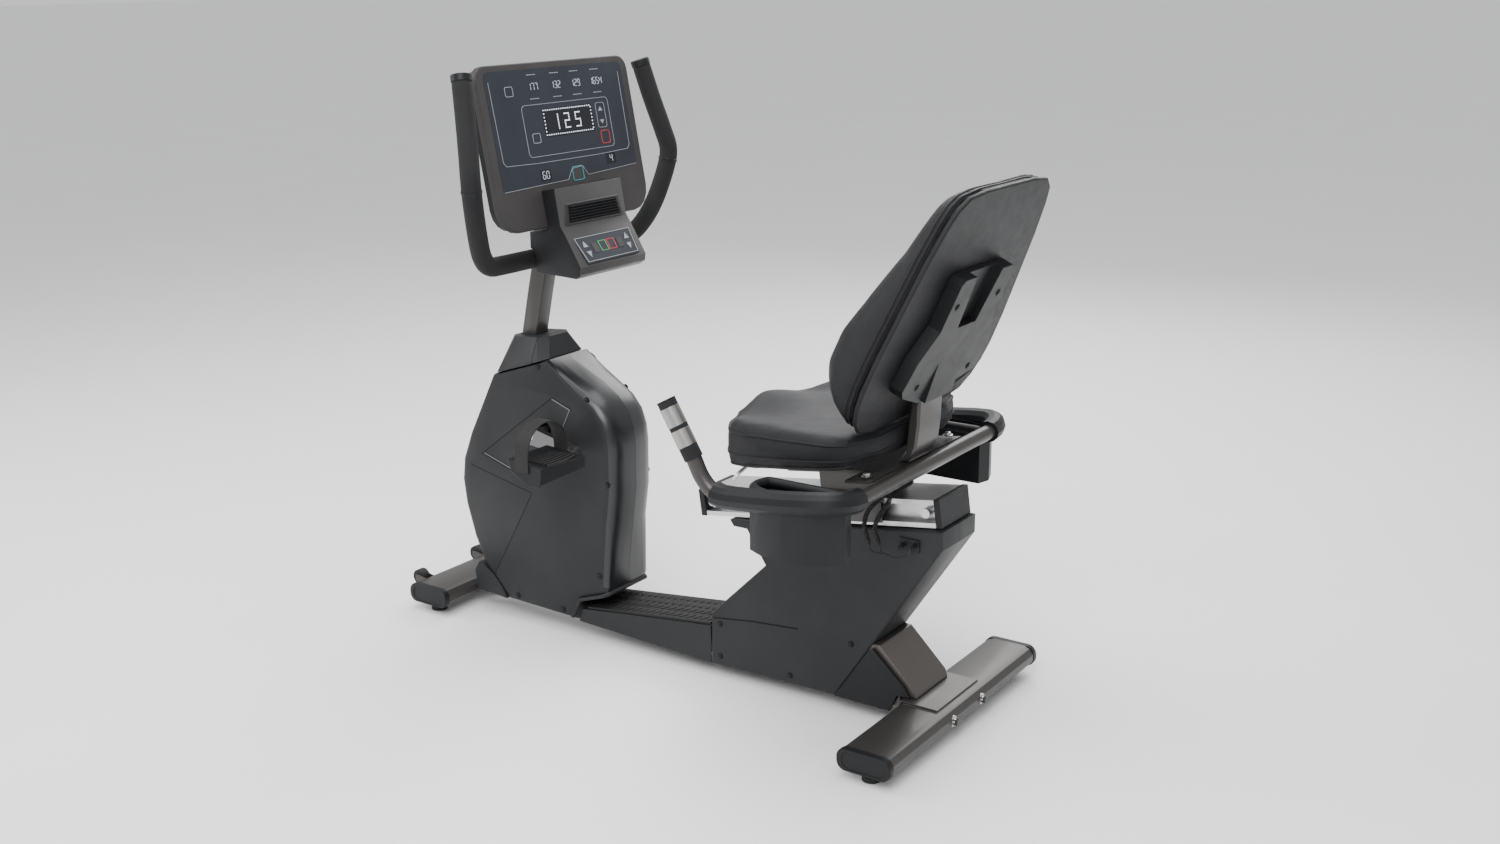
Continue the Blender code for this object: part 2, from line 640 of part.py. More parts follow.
def console_post():
    front = [(x - 0.0225, z) for x, z in POST_LINE]
    rear = [(x + 0.0225, z) for x, z in reversed(POST_LINE)]
    soften(side_prism("console_post", front + rear, -POST_HALF, POST_HALF, GUNMETAL), 0.006, 2, 60)


def rounded_rectangle(half, low, high, low_radius, high_radius, steps=4):
    """A (y, up) outline with its own radius on the lower and the upper corners."""
    right = (arc((half - low_radius, low + low_radius), low_radius, -90, 0, steps)
             + arc((half - high_radius, high - high_radius), high_radius, 0, 90, steps))
    return mirrored(right)


def console_layer(name, outline, out_from, out_to, look, group=PARTS):
    """A flat layer of the console, from its outline in the plane of the console's face."""
    layer = plan_prism(name, outline, out_from, out_to, look, group)
    return stand_up(layer, CONSOLE_FOOT, -CONSOLE_TILT)


def console():
    outline = rounded_rectangle(CONSOLE_HALF, 0.0, CONSOLE_HEIGHT, 0.055, 0.030)
    console_layer("console_bezel", outline, -0.016, 0.0, BEZEL)
    back = console_layer("console_back", rounded_rectangle(0.243, 0.006, CONSOLE_HEIGHT - 0.006, 0.050, 0.026),
                         -0.036, -0.016 - GAP, BLACK)
    join(back, console_layer("back_hump", rounded_rectangle(0.120, 0.045, 0.260, 0.03, 0.03), -0.058, -0.030,
                             BLACK))
    post_way = [(-0.440, 0.90), (-0.358, 0.90), (-0.348, 1.078), (-0.430, 1.078)]
    cut(back, side_prism("post_pocket", post_way, -POST_HALF - 0.0005, POST_HALF + 0.0005, BLACK))
    console_pod()


def console_pod():
    """The fan and key pod, proud of the console's face and reaching below it."""
    face = [on_console(0.080, GAP), on_console(0.080, 0.040), (-0.258, 0.975), (-0.243, 0.952),
            (-0.204, 0.888), (-0.206, 0.872), (-0.222, 0.862), (-0.330, 0.866), (-0.336, 0.869),
            (-0.336, 0.916), (-0.350, 0.918), (-0.350, 0.955), on_console(-0.004, -0.020),
            on_console(-0.004, GAP)]
    pod = side_prism("console_pod", face, -0.112, 0.112, POD)
    soften(pod, 0.006, 2, 50)


def handlebar():
    """A bent steel bar with foam grips, across the post and up both sides of the console."""
    half = [(-0.3605, 0.0, 0.892), (-0.3600, 0.185, 0.892), (-0.355, 0.236, 0.897), (-0.341, 0.272, 0.924),
            (-0.323, 0.301, 0.975), (-0.307, 0.326, 1.050), (-0.303, 0.333, 1.095), (-0.312, 0.325, 1.140),
            (-0.331, 0.309, 1.215), (-0.351, 0.294, 1.298)]
    right = smooth_line(half, 2)
    left = [(x, -y, z) for x, y, z in reversed(right[1:])]
    tube("handlebar", left + [tuple(p) for p in right], BAR_RADIUS, FOAM)


# Seat rail and carriage

def seat_rail():
    """An extruded rail with a roller groove along each side, black end caps and stop bolts."""
    top, flange = RAIL_HEIGHT / 2, 0.0100
    section_low, section_high = -top + flange, top - flange
    half_length = RAIL_LENGTH / 2
    rail = side_prism("seat_rail", rail_box(-half_length, half_length, -top, top), -RAIL_HALF, RAIL_HALF,
                      ALUMINIUM)
    for side in (-1, 1):
        cut(rail, side_prism("groove", rail_box(-0.4, 0.4, section_low, section_high), side * 0.036,
                             side * 0.07, ALUMINIUM))
        for along in (-half_length + 0.022, half_length - 0.022):
            x, z = on_rail(along, 0.0)
            join(rail, cylinder("stop_bolt", (x, side * 0.030, z), (x, side * 0.0585, z), 0.0100, STEEL, 16))
    for word, start in (("front", -half_length - 0.014), ("rear", half_length + GAP)):
        side_prism(f"rail_cap_{word}", rail_box(start, start + 0.0137, -top - 0.001, top + 0.001),
                   -RAIL_HALF - 0.002, RAIL_HALF + 0.002, BLACK)


ROLLERS = (("front", 0.030), ("rear", 0.142))  # along the rail, from its middle
SEAT_PLATE_UP = 0.092  # underside of the seat plate, square to the rail from its middle


def seat_carriage():
    """The steel carriage astride the rail, with the plate that the cushion bolts to."""
    deck = RAIL_HEIGHT / 2 + 0.004
    carriage = side_prism("seat_carriage", rail_box(0.008, 0.165, deck, deck + 0.006), -0.072, 0.072, GUNMETAL)
    for side in (-1, 1):
        join(carriage, side_prism("cheek", rail_box(0.009, 0.164, -0.020, deck + 0.003), side * 0.0660,
                                  side * 0.0715, GUNMETAL))
        for _, along in ROLLERS:
            x, z = on_rail(along, 0.0)
            join(carriage, cylinder("roller_pin", (x, side * 0.044, z), (x, side * 0.070, z), 0.0040, STEEL, 12))
    riser = rail_box(0.020, 0.155, deck + 0.003, SEAT_PLATE_UP + 0.003)
    for side in (-1, 1):
        join(carriage, side_prism("riser", riser, side * 0.052, side * 0.058, GUNMETAL))
    plate = rail_box(-0.020, 0.2225, SEAT_PLATE_UP, SEAT_PLATE_UP + 0.006)
    join(carriage, side_prism("seat_plate", plate, -0.110, 0.110, GUNMETAL))
    wing = rail_box(0.160, 0.2222, SEAT_PLATE_UP + 0.0003, SEAT_PLATE_UP + 0.0057)
    join(carriage, side_prism("wing_plate", wing, -0.183, 0.183, GUNMETAL))
    for along_word, along in ROLLERS:
        for side, word in ((-1, "left"), (1, "right")):
            x, z = on_rail(along, 0.0)
            roller = cylinder(f"seat_roller_{along_word}_{word}", (x, side * 0.0455, z), (x, side * 0.0615, z),
                              ROLLER_RADIUS, BLACK)
            cut(roller, cylinder("roller_bore", (x, side * 0.03, z), (x, side * 0.08, z), 0.0044, STEEL, 12))


SEAT_TUBE = [(0.199, 0.350, 0.7055), (0.2265, 0.346, 0.6538), (0.254, 0.342, 0.6020), (0.273, 0.339, 0.5620),
             (0.302, 0.337, 0.5355), (0.345, 0.340, 0.5337), (0.465, 0.349, 0.5485), (0.545, 0.341, 0.5580),
             (0.574, 0.313, 0.5565), (0.580, 0.270, 0.5530), (0.579, 0.200, 0.5520)]
TUBE_STEPS = 2  # points in each stretch of the seat tube


def seat_tube():
    """One bent tube: left handle, left cup holder, across behind the seat, and the same on the right."""
    right = smooth_line(SEAT_TUBE, TUBE_STEPS)
    left = [(x, -y, z) for x, y, z in reversed(right)]
    whole = tube("seat_tube", [tuple(p) for p in right] + left, SEAT_TUBE_RADIUS, GUNMETAL)
    for side in (-1, 1):
        tip, base = [Vector((x, side * y, z)) for x, y, z in (SEAT_TUBE[0], SEAT_TUBE[2])]
        past = (tip - base).normalized() * 0.004
        join(whole, cylinder("grip", tip + past, base, SEAT_TUBE_RADIUS + 0.003, RUBBER, 20))


def boat(x_from, x_to, inner, outer, steps=6):
    """A boat-shaped (x, y) outline: blunt ends, a straight inner side and a bulging outer one."""
    middle, reach = (x_from + x_to) / 2, (x_to - x_from) / 2
    bulge = [(middle + reach * math.cos(a), inner + 0.35 * (outer - inner)
              + 0.65 * (outer - inner) * math.sin(a) ** 0.7)
             for a in [math.pi * i / steps for i in range(steps + 1)]]
    return [*bulge, (x_from + 0.008, inner), (x_to - 0.008, inner)]


def cup_holder(side, word):
    """A moulded holder: a sleeve around the seat tube with a boat-shaped cup hung inboard of it."""
    line = [(x, side * y, z) for x, y, z in smooth_line(SEAT_TUBE, TUBE_STEPS)]
    body = plan_prism(f"cup_holder_{word}", [(x, side * y) for x, y in boat(0.367, 0.571, 0.265, 0.360)],
                      0.4355, 0.5525, BLACK)
    sleeve = tube("sleeve", line[4 * TUBE_STEPS:9 * TUBE_STEPS + 1], 0.0235, BLACK, 4)
    join(body, sleeve)
    cut(body,
        tube("tube_way", line, SEAT_TUBE_RADIUS + 0.0004, BLACK, 4),
        plan_prism("pocket", [(x, side * y) for x, y in boat(0.373, 0.565, 0.269, 0.323)], 0.4415, 0.60, BLACK))


# Seat, backrest and lever

SEAT_PLAN = [(0.172, 0.0), (0.185, 0.090), (0.215, 0.165), (0.245, 0.212), (0.290, 0.232), (0.400, 0.236),
             (0.500, 0.234), (0.525, 0.218), (0.552, 0.136)]


def seat_cushion():
    """The seat pad, sloped with the rail and thinner to the rear."""
    outline = SEAT_PLAN + [(x, -y) for x, y in reversed(SEAT_PLAN[1:])]
    pad = plan_prism("seat_cushion", outline, 0.0, 1.0, VINYL)
    for vertex in pad.data.vertices:
        behind = max(vertex.co.x - 0.245, 0.0)
        vertex.co.z = 0.5475 + 0.139 * behind + vertex.co.z * (0.094 - 0.120 * behind)
    soften(pad, 0.018, 2, 60)


BACK_HALF = [(0.150, -0.045), (0.205, -0.034), (0.236, -0.006), (0.253, 0.030), (0.260, 0.070),
             (0.256, 0.140), (0.243, 0.225), (0.226, 0.330), (0.207, 0.405), (0.190, 0.442), (0.160, 0.463),
             (0.100, 0.470)]
BACK_DEPTHS = [(-0.045, 0.050), (-0.006, 0.078), (0.030, 0.096), (0.070, 0.110), (0.140, 0.110),
               (0.225, 0.090), (0.330, 0.064), (0.405, 0.054), (0.470, 0.046)]  # (up, depth of the pad)
PAD_LEVELS = [(0.001, 0.0), (0.003, 0.35), (0.015, 0.72), (0.032, 0.92), (0.058, 1.0)]  # (inset, depth)


def back_layer(name, outline, out_from, out_to, look, group=PARTS):
    """A layer of the backrest from its (y, up) outline; `out` is to the rear of the rear face."""
    layer = plan_prism(name, outline, out_from, out_to, look, group)
    return stand_up(layer, BACK_FOOT, BACK_TILT)


def pad_depth(up):
    """How far the backrest pad stands off the rear face at a height, on straight lines."""
    for (low, shallow), (high, deep) in zip(BACK_DEPTHS, BACK_DEPTHS[1:]):
        if up <= high:
            share = max(up - low, 0.0) / (high - low)
            return shallow + (deep - shallow) * share
    return BACK_DEPTHS[-1][1]


def backrest_pad(outline):
    """The pad: its sides drawn in towards a front face that is deepest at the small of the back."""
    foot = 0.010 + GAP
    rings = []
    for inward, share in PAD_LEVELS:
        ring = []
        for y, up in inset(outline, inward):
            x, z = on_back(up, -foot - share * (pad_depth(up) - foot))
            ring.append((x, y, z))
        rings.append(ring)
    return loft("backrest_pad", rings, VINYL, striped=True)


def backrest():
    outline = mirrored(BACK_HALF)
    back_layer("backrest_shell", outline, -0.010, 0.0, BLACK)
    backrest_pad(outline)
    backrest_cover()


def back_ring(up, half, out_from, out_to):
    """A rectangle across the backrest at one height."""
    corners = [(half, out_from), (half, out_to), (-half, out_to), (-half, out_from)]
    return [(on_back(up, out)[0], y, on_back(up, out)[1]) for y, out in corners]


def backrest_cover():
    """The waisted moulding on the backrest's rear, with its hand slot and a channel for the post."""
    half = [(0.070, 0.020), (0.150, 0.050), (0.164, 0.068), (0.150, 0.130), (0.110, 0.190),
            (0.108, 0.290), (0.098, 0.300)]
    cover = back_layer("backrest_cover", mirrored(half), GAP, 0.030, BLACK)
    slot = [(0.036, 0.185), (0.056, 0.32), (-0.056, 0.32), (-0.036, 0.185)]
    join(cover, loft("channel", [back_ring(0.0215, 0.056, 0.010, 0.040), back_ring(0.118, 0.050, 0.010, 0.029)],
                     BLACK))
    cut(cover, back_layer("slot", slot, 0.012, 0.05, BLACK),
        loft("post_socket", [back_ring(-0.05, 0.0485, 0.004, 0.0305), back_ring(0.102, 0.0485, 0.004, 0.0265)],
             BLACK))


def backrest_post():
    """A flat box tube from the seat plate up into the backrest cover."""
    rear = [(0.5615, 0.5640), (0.580, 0.600), (0.5845, 0.640), on_back(0.012, 0.027), on_back(0.098, 0.025)]
    front = [on_back(0.098, 0.005), on_back(0.020, 0.005), (0.5605, 0.650), (0.5545, 0.586), (0.538, 0.5605)]
    lower = side_prism("backrest_post", rear + front, -0.048, 0.048, GUNMETAL)
    return soften(lower, 0.004, 1, 60)


def seat_lever():
    """The thin bent rod under the front of the seat that releases the carriage."""
    path = [(0.3150, -0.090, 0.5240), (0.2350, -0.090, 0.5190), (0.2150, -0.100, 0.5120),
            (0.2050, -0.120, 0.5000), (0.2000, -0.128, 0.4860)]
    tube("seat_lever", [tuple(p) for p in smooth_line(path, 3)], 0.0042, STEEL, 2)


# Pulse leads

def pulse_leads():
    """Two curly leads from under the carriage, each with a straight end in a socket on the shroud."""
    wall = -REAR_SHROUD_HALF
    base = box("cord_sockets", (0.560, wall - 0.0033, 0.392), (0.606, wall - GAP, 0.417), BLACK)
    runs = (
        ("front", 0.571, 0.4035, [(0.5490, -0.0900, 0.5350), (0.5350, -0.0980, 0.5050), (0.5050, -0.1020, 0.4700),
                                  (0.4950, -0.1000, 0.4350), (0.5040, -0.0960, 0.3960)]),
        ("rear", 0.597, 0.4065, [(0.5560, -0.1120, 0.5350), (0.5580, -0.1120, 0.5050), (0.5380, -0.1140, 0.4700),
                                 (0.5260, -0.1120, 0.4400), (0.5340, -0.1080, 0.4040)]),
    )
    for word, x, z, coil in runs:
        join(base, cylinder("gland", (x, wall - 0.002, z), (x, wall - 0.016, z), 0.0052, BLACK, 12,
                            tip_radius=0.0040))
        line = smooth_line(coil, 5)
        tube(f"curly_cord_{word}", [tuple(p) for p in line], COIL_RADIUS, CORD, 2)
        heading = (line[-1] - line[-2]).normalized()
        start = line[-1] + heading * 1.5 * GAP
        lead = [start, start + heading * 0.007, start + Vector((0.007, 0.0, -0.013)),
                Vector(((start.x + x) / 2 + 0.004, start.y, z - 0.021)), Vector((x - 0.002, wall - 0.030, z - 0.012)),
                Vector((x, wall - 0.024, z - 0.001)), Vector((x, wall - 0.016 - GAP, z))]
        tube(f"cord_lead_{word}", [tuple(p) for p in smooth_line(lead, 5)], CORD_RADIUS, CORD, 2)


# Joints: an empty on each joint's axis holds the pieces that move there

def axis_empty(name, place, parent):
    made = bpy.data.objects.new(name, None)
    made.empty_display_size = 0.05
    PARTS.objects.link(made)
    made.parent = parent
    made.matrix_parent_inverse = Matrix.Translation(-Vector(parent["drawn_at"]))
    made.location = place
    made["drawn_at"] = tuple(place)
    return made


def hang(parent, *names):
    """Make pieces, and the helpers that shape them, move with an empty."""
    for name in names:
        piece = bpy.data.objects[name]
        helpers = [step.object for step in piece.modifiers if step.type == "BOOLEAN"]
        for member in (piece, *helpers):
            member.parent = parent
            member.matrix_parent_inverse = Matrix.Translation(-Vector(parent["drawn_at"]))


def joints():
    bike = bpy.data.objects.new("bike", None)
    PARTS.objects.link(bike)
    bike["drawn_at"] = (0.0, 0.0, 0.0)
    bike.location.x = ORIGIN_SHIFT

    crank = axis_empty("crank_axis", CRANK, bike)
    hang(crank, "crank_axle", "drive_pulley", "crank_arm_left", "crank_arm_right")
    hang(axis_empty("flywheel_axis", FLYWHEEL, bike), "flywheel")
    seat = axis_empty("seat_slide_axis", RAIL_CENTRE, bike)
    hang(seat, "seat_carriage", "seat_tube", "cup_holder_left", "cup_holder_right", "seat_cushion",
         "backrest_shell", "backrest_pad", "backrest_cover", "backrest_post")
    hang(axis_empty("lever_axis", LEVER_PIVOT, seat), "seat_lever")
    for side, word in ((-1, "left"), (1, "right")):
        x, z = pedal_axis(side)
        pedal_centre = axis_empty(f"pedal_axis_{word}", (x, side * PEDAL_INNER, z), crank)
        hang(pedal_centre, f"pedal_{word}", f"pedal_strap_{word}")
        wheel = axis_empty(f"wheel_axis_{word}", (WHEEL[0], side * 0.100, WHEEL[1]), bike)
        hang(wheel, f"transport_wheel_{word}")
        for end, foot_x, foot_y in (("front", FRONT_FOOT_X, 0.122), ("rear", REAR_FOOT_X, 0.290)):
            foot = axis_empty(f"foot_axis_{end}_{word}", (foot_x, side * foot_y, 0.0), bike)
            hang(foot, f"levelling_foot_{end}_{word}")
        for end, along in ROLLERS:
            x, z = on_rail(along, 0.0)
            roller = axis_empty(f"roller_axis_{end}_{word}", (x, side * 0.0535, z), seat)
            hang(roller, f"seat_roller_{end}_{word}")
    for piece in list(PARTS.objects):
        if piece.type == "MESH" and piece.parent is None:
            hang(bike, piece.name)


def build():
    floor_frame()
    main_frame()
    rear_leg()
    crank_drive()
    flywheel()
    drive_belt()
    brake_magnets()
    shroud()
    neck_covers()
    beam_cover()
    rear_shroud()
    leg_covers()
    console_post()
    console()
    handlebar()
    seat_rail()
    seat_carriage()
    seat_tube()
    for side, word in ((-1, "left"), (1, "right")):
        cup_holder(side, word)
    seat_cushion()
    backrest()
    backrest_post()
    seat_lever()
    pulse_leads()
    joints()
    for piece in PARTS.objects:
        if piece.type != "MESH":
            continue
        piece.data.shade_smooth()
        piece.data.set_sharp_from_angle(angle=math.radians(35))


build()
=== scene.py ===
"""A recumbent exercise bike: finished surfaces, cushions, console, trim and cords over its working parts."""

import json
import math

import bmesh
import bpy
import numpy as np
from mathutils import Matrix, Vector
from mathutils.bvhtree import BVHTree


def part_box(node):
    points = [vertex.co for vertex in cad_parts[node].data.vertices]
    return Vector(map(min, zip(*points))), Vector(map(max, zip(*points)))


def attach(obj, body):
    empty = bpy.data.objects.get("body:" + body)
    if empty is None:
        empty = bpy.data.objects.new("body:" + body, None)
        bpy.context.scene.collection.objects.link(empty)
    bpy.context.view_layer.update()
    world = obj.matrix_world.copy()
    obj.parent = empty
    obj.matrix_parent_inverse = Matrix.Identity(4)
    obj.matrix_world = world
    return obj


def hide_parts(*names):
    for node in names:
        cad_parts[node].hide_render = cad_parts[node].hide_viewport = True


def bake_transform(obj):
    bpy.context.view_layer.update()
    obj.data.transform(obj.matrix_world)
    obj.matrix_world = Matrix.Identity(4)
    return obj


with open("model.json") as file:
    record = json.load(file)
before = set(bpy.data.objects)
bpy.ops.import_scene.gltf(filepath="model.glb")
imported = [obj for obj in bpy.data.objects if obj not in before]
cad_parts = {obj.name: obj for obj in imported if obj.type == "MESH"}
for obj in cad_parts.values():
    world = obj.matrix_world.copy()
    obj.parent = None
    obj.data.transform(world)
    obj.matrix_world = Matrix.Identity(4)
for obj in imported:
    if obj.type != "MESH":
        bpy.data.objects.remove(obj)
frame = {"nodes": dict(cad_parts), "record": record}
NODES = frame["nodes"]
RECORD = frame["record"]
BODY_OF = {node: body for body, nodes in RECORD["behaviour"]["bodies"].items() for node in nodes}
SHIFT = 0.0204  # from the drawing's zero to the middle of the bike's length
SIDES = ((-1, "left"), (1, "right"))


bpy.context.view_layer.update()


# Shader building

class Value:
    """A shader socket or number that adds, multiplies and so on by making maths nodes."""

    def __init__(self, tree, socket):
        self.tree, self.socket = tree, socket

    def maths(self, operation, *others):
        node = self.tree.nodes.new("ShaderNodeMath")
        node.operation = operation
        for slot, value in zip(node.inputs, (self, *others)):
            if isinstance(value, Value):
                self.tree.links.new(value.socket, slot)
            else:
                slot.default_value = value
        return Value(self.tree, node.outputs[0])

    def __add__(self, other):
        return self.maths("ADD", other)

    def __sub__(self, other):
        return self.maths("SUBTRACT", other)

    def __mul__(self, other):
        return self.maths("MULTIPLY", other)

    def smooth(self, low, high):
        """0 below low, 1 above high, and even in between."""
        return ((self - low) * (1.0 / (high - low))).maths("MAXIMUM", 0.0).maths("MINIMUM", 1.0)


class Recipe:
    """A material with a principled shader, and the textures that vary it."""

    def __init__(self, name, colour, roughness, metallic=0.0, coat=0.0, specular=0.20):
        self.look = bpy.data.materials.new(name)
        self.look.use_nodes = True
        self.tree = self.look.node_tree
        self.shader = self.tree.nodes["Principled BSDF"]
        self.colour = colour
        self.shader.inputs["Base Color"].default_value = (*colour, 1.0)
        self.shader.inputs["Roughness"].default_value = roughness
        self.shader.inputs["Metallic"].default_value = metallic
        self.shader.inputs["Coat Weight"].default_value = coat
        self.shader.inputs["Coat Roughness"].default_value = 0.12
        self.shader.inputs["Specular IOR Level"].default_value = specular
        self.look.diffuse_color = (*colour, 1.0)
        self.place = self.node("ShaderNodeTexCoord").outputs["Object"]

    def node(self, kind, **settings):
        made = self.tree.nodes.new(kind)
        for key, value in settings.items():
            if key in made.inputs:
                made.inputs[key].default_value = value
            else:
                setattr(made, key, value)
        return made

    def stretched(self, scale):
        mapping = self.node("ShaderNodeMapping", Scale=scale)
        self.tree.links.new(self.place, mapping.inputs["Vector"])
        return mapping.outputs[0]

    def noise(self, scale, detail=3.0, stretch=(1.0, 1.0, 1.0)):
        node = self.node("ShaderNodeTexNoise", Scale=scale, Detail=detail)
        self.tree.links.new(self.stretched(stretch), node.inputs["Vector"])
        return Value(self.tree, node.outputs["Fac"])

    def cells(self, scale):
        node = self.node("ShaderNodeTexVoronoi", feature="DISTANCE_TO_EDGE", Scale=scale)
        self.tree.links.new(self.place, node.inputs["Vector"])
        return Value(self.tree, node.outputs["Distance"])

    def vary_colour(self, value, darker, lighter):
        ramp = self.node("ShaderNodeMix", data_type="RGBA")
        self.tree.links.new(value.socket, ramp.inputs["Factor"])
        ramp.inputs[6].default_value = (*[c * darker for c in self.colour], 1.0)
        ramp.inputs[7].default_value = (*[c * lighter for c in self.colour], 1.0)
        self.tree.links.new(ramp.outputs[2], self.shader.inputs["Base Color"])
        return self

    def vary_roughness(self, value, low, high):
        self.tree.links.new((value * (high - low) + low).socket, self.shader.inputs["Roughness"])
        return self

    def grain(self, value, depth, strength=1.0):
        bump = self.node("ShaderNodeBump", Distance=depth, Strength=strength)
        self.tree.links.new(value.socket, bump.inputs["Height"])
        self.tree.links.new(bump.outputs[0], self.shader.inputs["Normal"])
        return self


def moulded(name, colour, roughness, grain_scale=1400.0, depth=0.00012):
    """Textured moulded plastic."""
    recipe = Recipe(name, colour, roughness)
    recipe.vary_colour(recipe.noise(9.0).smooth(0.3, 0.7), 0.90, 1.12)
    recipe.vary_roughness(recipe.noise(30.0), roughness - 0.06, roughness + 0.08)
    return recipe.grain(recipe.noise(grain_scale, 1.0), depth).look


def smooth_moulded(name, colour, roughness):
    """Smooth plastic with only a faint unevenness."""
    recipe = Recipe(name, colour, roughness, specular=0.5)
    recipe.vary_colour(recipe.noise(5.0, 1.0), 0.96, 1.04)
    return recipe.vary_roughness(recipe.noise(3.0, 1.0), roughness - 0.01, roughness + 0.01).look


def painted(name, colour, roughness, metallic):
    recipe = Recipe(name, colour, roughness, metallic, coat=0.15)
    recipe.vary_colour(recipe.noise(2600.0, 1.0).smooth(0.35, 0.75), 0.86, 1.22)
    recipe.vary_roughness(recipe.noise(14.0), roughness - 0.05, roughness + 0.07)
    return recipe.grain(recipe.noise(240.0, 2.0), 0.00010).look


def brushed(name, colour, roughness, stretch, depth=0.00006):
    recipe = Recipe(name, colour, roughness, 1.0)
    lines = recipe.noise(900.0, 2.0, stretch)
    recipe.vary_colour(lines.smooth(0.2, 0.8), 0.88, 1.06)
    recipe.vary_roughness(lines, roughness - 0.08, roughness + 0.16)
    return recipe.grain(lines, depth).look


def hide(name, colour, roughness):
    """Vinyl with a fine pebbled grain."""
    recipe = Recipe(name, colour, roughness)
    recipe.vary_colour(recipe.noise(12.0).smooth(0.3, 0.7), 0.88, 1.16)
    pebbles = recipe.cells(620.0).smooth(0.0, 0.22) + recipe.noise(300.0) * 0.5
    recipe.vary_roughness(recipe.noise(40.0), roughness - 0.07, roughness + 0.09)
    return recipe.grain(pebbles, 0.00030, 0.8).look


def rubbery(name, colour, roughness, scale=900.0):
    recipe = Recipe(name, colour, roughness, specular=0.35)
    recipe.vary_colour(recipe.noise(25.0).smooth(0.3, 0.7), 0.85, 1.2)
    return recipe.grain(recipe.noise(scale, 2.0), 0.00030).look


def printed(name, colour, glow=0.0):
    """Ink or a lit segment on the console's face."""
    recipe = Recipe(name, colour, 0.45)
    recipe.vary_colour(recipe.noise(200.0), 0.95, 1.05)
    if glow:
        recipe.shader.inputs["Emission Color"].default_value = (*colour, 1.0)
        recipe.shader.inputs["Emission Strength"].default_value = glow
    return recipe.look


LOOK = {
    "gunmetal": painted("gunmetal paint", (0.060, 0.056, 0.053), 0.38, 0.55),
    "leg": painted("warm gunmetal paint", (0.085, 0.074, 0.068), 0.34, 0.6),
    "charcoal": moulded("charcoal moulding", (0.0165, 0.0172, 0.0190), 0.46),
    "gloss": smooth_moulded("satin black rim", (0.0095, 0.0100, 0.0120), 0.30),
    "black": moulded("black moulding", (0.0095, 0.0100, 0.0115), 0.42),
    "rubber": rubbery("black rubber", (0.010, 0.010, 0.010), 0.70),
    "foam": rubbery("grip foam", (0.0085, 0.0085, 0.0095), 0.82, 1800.0),
    "vinyl": hide("black vinyl", (0.0105, 0.0108, 0.0125), 0.42),
    "piping": hide("black piping", (0.0100, 0.0100, 0.0115), 0.40),
    "aluminium": brushed("brushed aluminium", (0.62, 0.62, 0.63), 0.32, (0.012, 1.0, 1.0)),
    "steel": brushed("bright steel", (0.55, 0.55, 0.54), 0.28, (1.0, 1.0, 1.0)),
    "stainless": brushed("stainless plate", (0.36, 0.35, 0.33), 0.34, (1.0, 1.0, 0.02)),
    "dark_steel": brushed("dark steel", (0.16, 0.16, 0.165), 0.32, (1.0, 1.0, 1.0)),
    "iron": painted("turned iron", (0.07, 0.07, 0.075), 0.38, 0.8),
    "bezel": moulded("console grey", (0.037, 0.034, 0.0345), 0.48),
    "pod": moulded("pod grey", (0.044, 0.042, 0.0425), 0.42),
    "overlay": moulded("face overlay", (0.020, 0.0225, 0.0300), 0.38, 1800.0, 0.00003),
    "window": moulded("smoked window", (0.0105, 0.0115, 0.0150), 0.25, 400.0, 0.00001),
    "ink": printed("white ink", (0.26, 0.28, 0.30)),
    "digit": printed("lit segment", (0.42, 0.46, 0.52), 0.12),
    "dot": printed("lit dot", (0.80, 0.84, 0.95), 1.0),
    "teal": printed("teal ink", (0.05, 0.28, 0.30)),
    "red": printed("red ink", (0.50, 0.04, 0.05)),
    "green": printed("green ink", (0.06, 0.38, 0.12)),
    # A lighter colour painted along the shroud's recess edges as a highlight, where light catches them.
    "edge": smooth_moulded("painted edge highlight", (0.11, 0.11, 0.12), 0.3),
    "cord": rubbery("cord sleeve", (0.008, 0.008, 0.008), 0.46),
    # Near-black painted shade, laid where grooves, screw wells, screw sockets and the vent's mouth fall into
    # shadow.
    "groove": moulded("shadowed groove", (0.004, 0.004, 0.004), 0.8),
}


# Mesh building

def place(x, y, z):
    """A point of the drawing, in the bike's own frame."""
    return Vector((x + SHIFT, y, z))


def added(name, data):
    """A new object in the scene."""
    obj = bpy.data.objects.new(name, data)
    bpy.context.scene.collection.objects.link(obj)
    return obj


def finish_mesh(obj, angle=35.0):
    """Smooth shading with crisp edges where faces meet at more than this angle."""
    work = bmesh.new()
    work.from_mesh(obj.data)
    bmesh.ops.recalc_face_normals(work, faces=work.faces)
    for face in work.faces:
        face.smooth = True
    limit = math.radians(angle)
    for edge in work.edges:
        edge.smooth = len(edge.link_faces) == 2 and edge.calc_face_angle(0.0) < limit
    work.to_mesh(obj.data)
    work.free()


def rounded(obj, width, segments=2, angle=35.0):
    bevel = obj.modifiers.new("rounded edges", "BEVEL")
    bevel.width, bevel.segments = width, segments
    bevel.limit_method, bevel.angle_limit = "ANGLE", math.radians(angle)
    bevel.harden_normals = True
    bevel.use_clamp_overlap = True
    return obj


def apply_all(obj):
    graph = bpy.context.evaluated_depsgraph_get()
    mesh = bpy.data.meshes.new_from_object(obj.evaluated_get(graph))
    obj.modifiers.clear()
    obj.data = mesh
    return obj


def piece(name, points, faces, look, body, width=0.0, angle=35.0):
    """A piece of trim that rides on a body."""
    mesh = bpy.data.meshes.new(name)
    mesh.from_pydata([tuple(p) for p in points], [], faces)
    mesh.validate()
    obj = added(name, mesh)
    mesh.materials.append(LOOK[look])
    finish_mesh(obj, angle)
    if width:
        rounded(obj, width)
    if body:
        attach(obj, body)
    return obj


def gathered(shapes):
    """Several (points, faces) as one."""
    points, faces = [], []
    for more, rings in shapes:
        faces += [tuple(i + len(points) for i in ring) for ring in rings]
        points += list(more)
    return points, faces


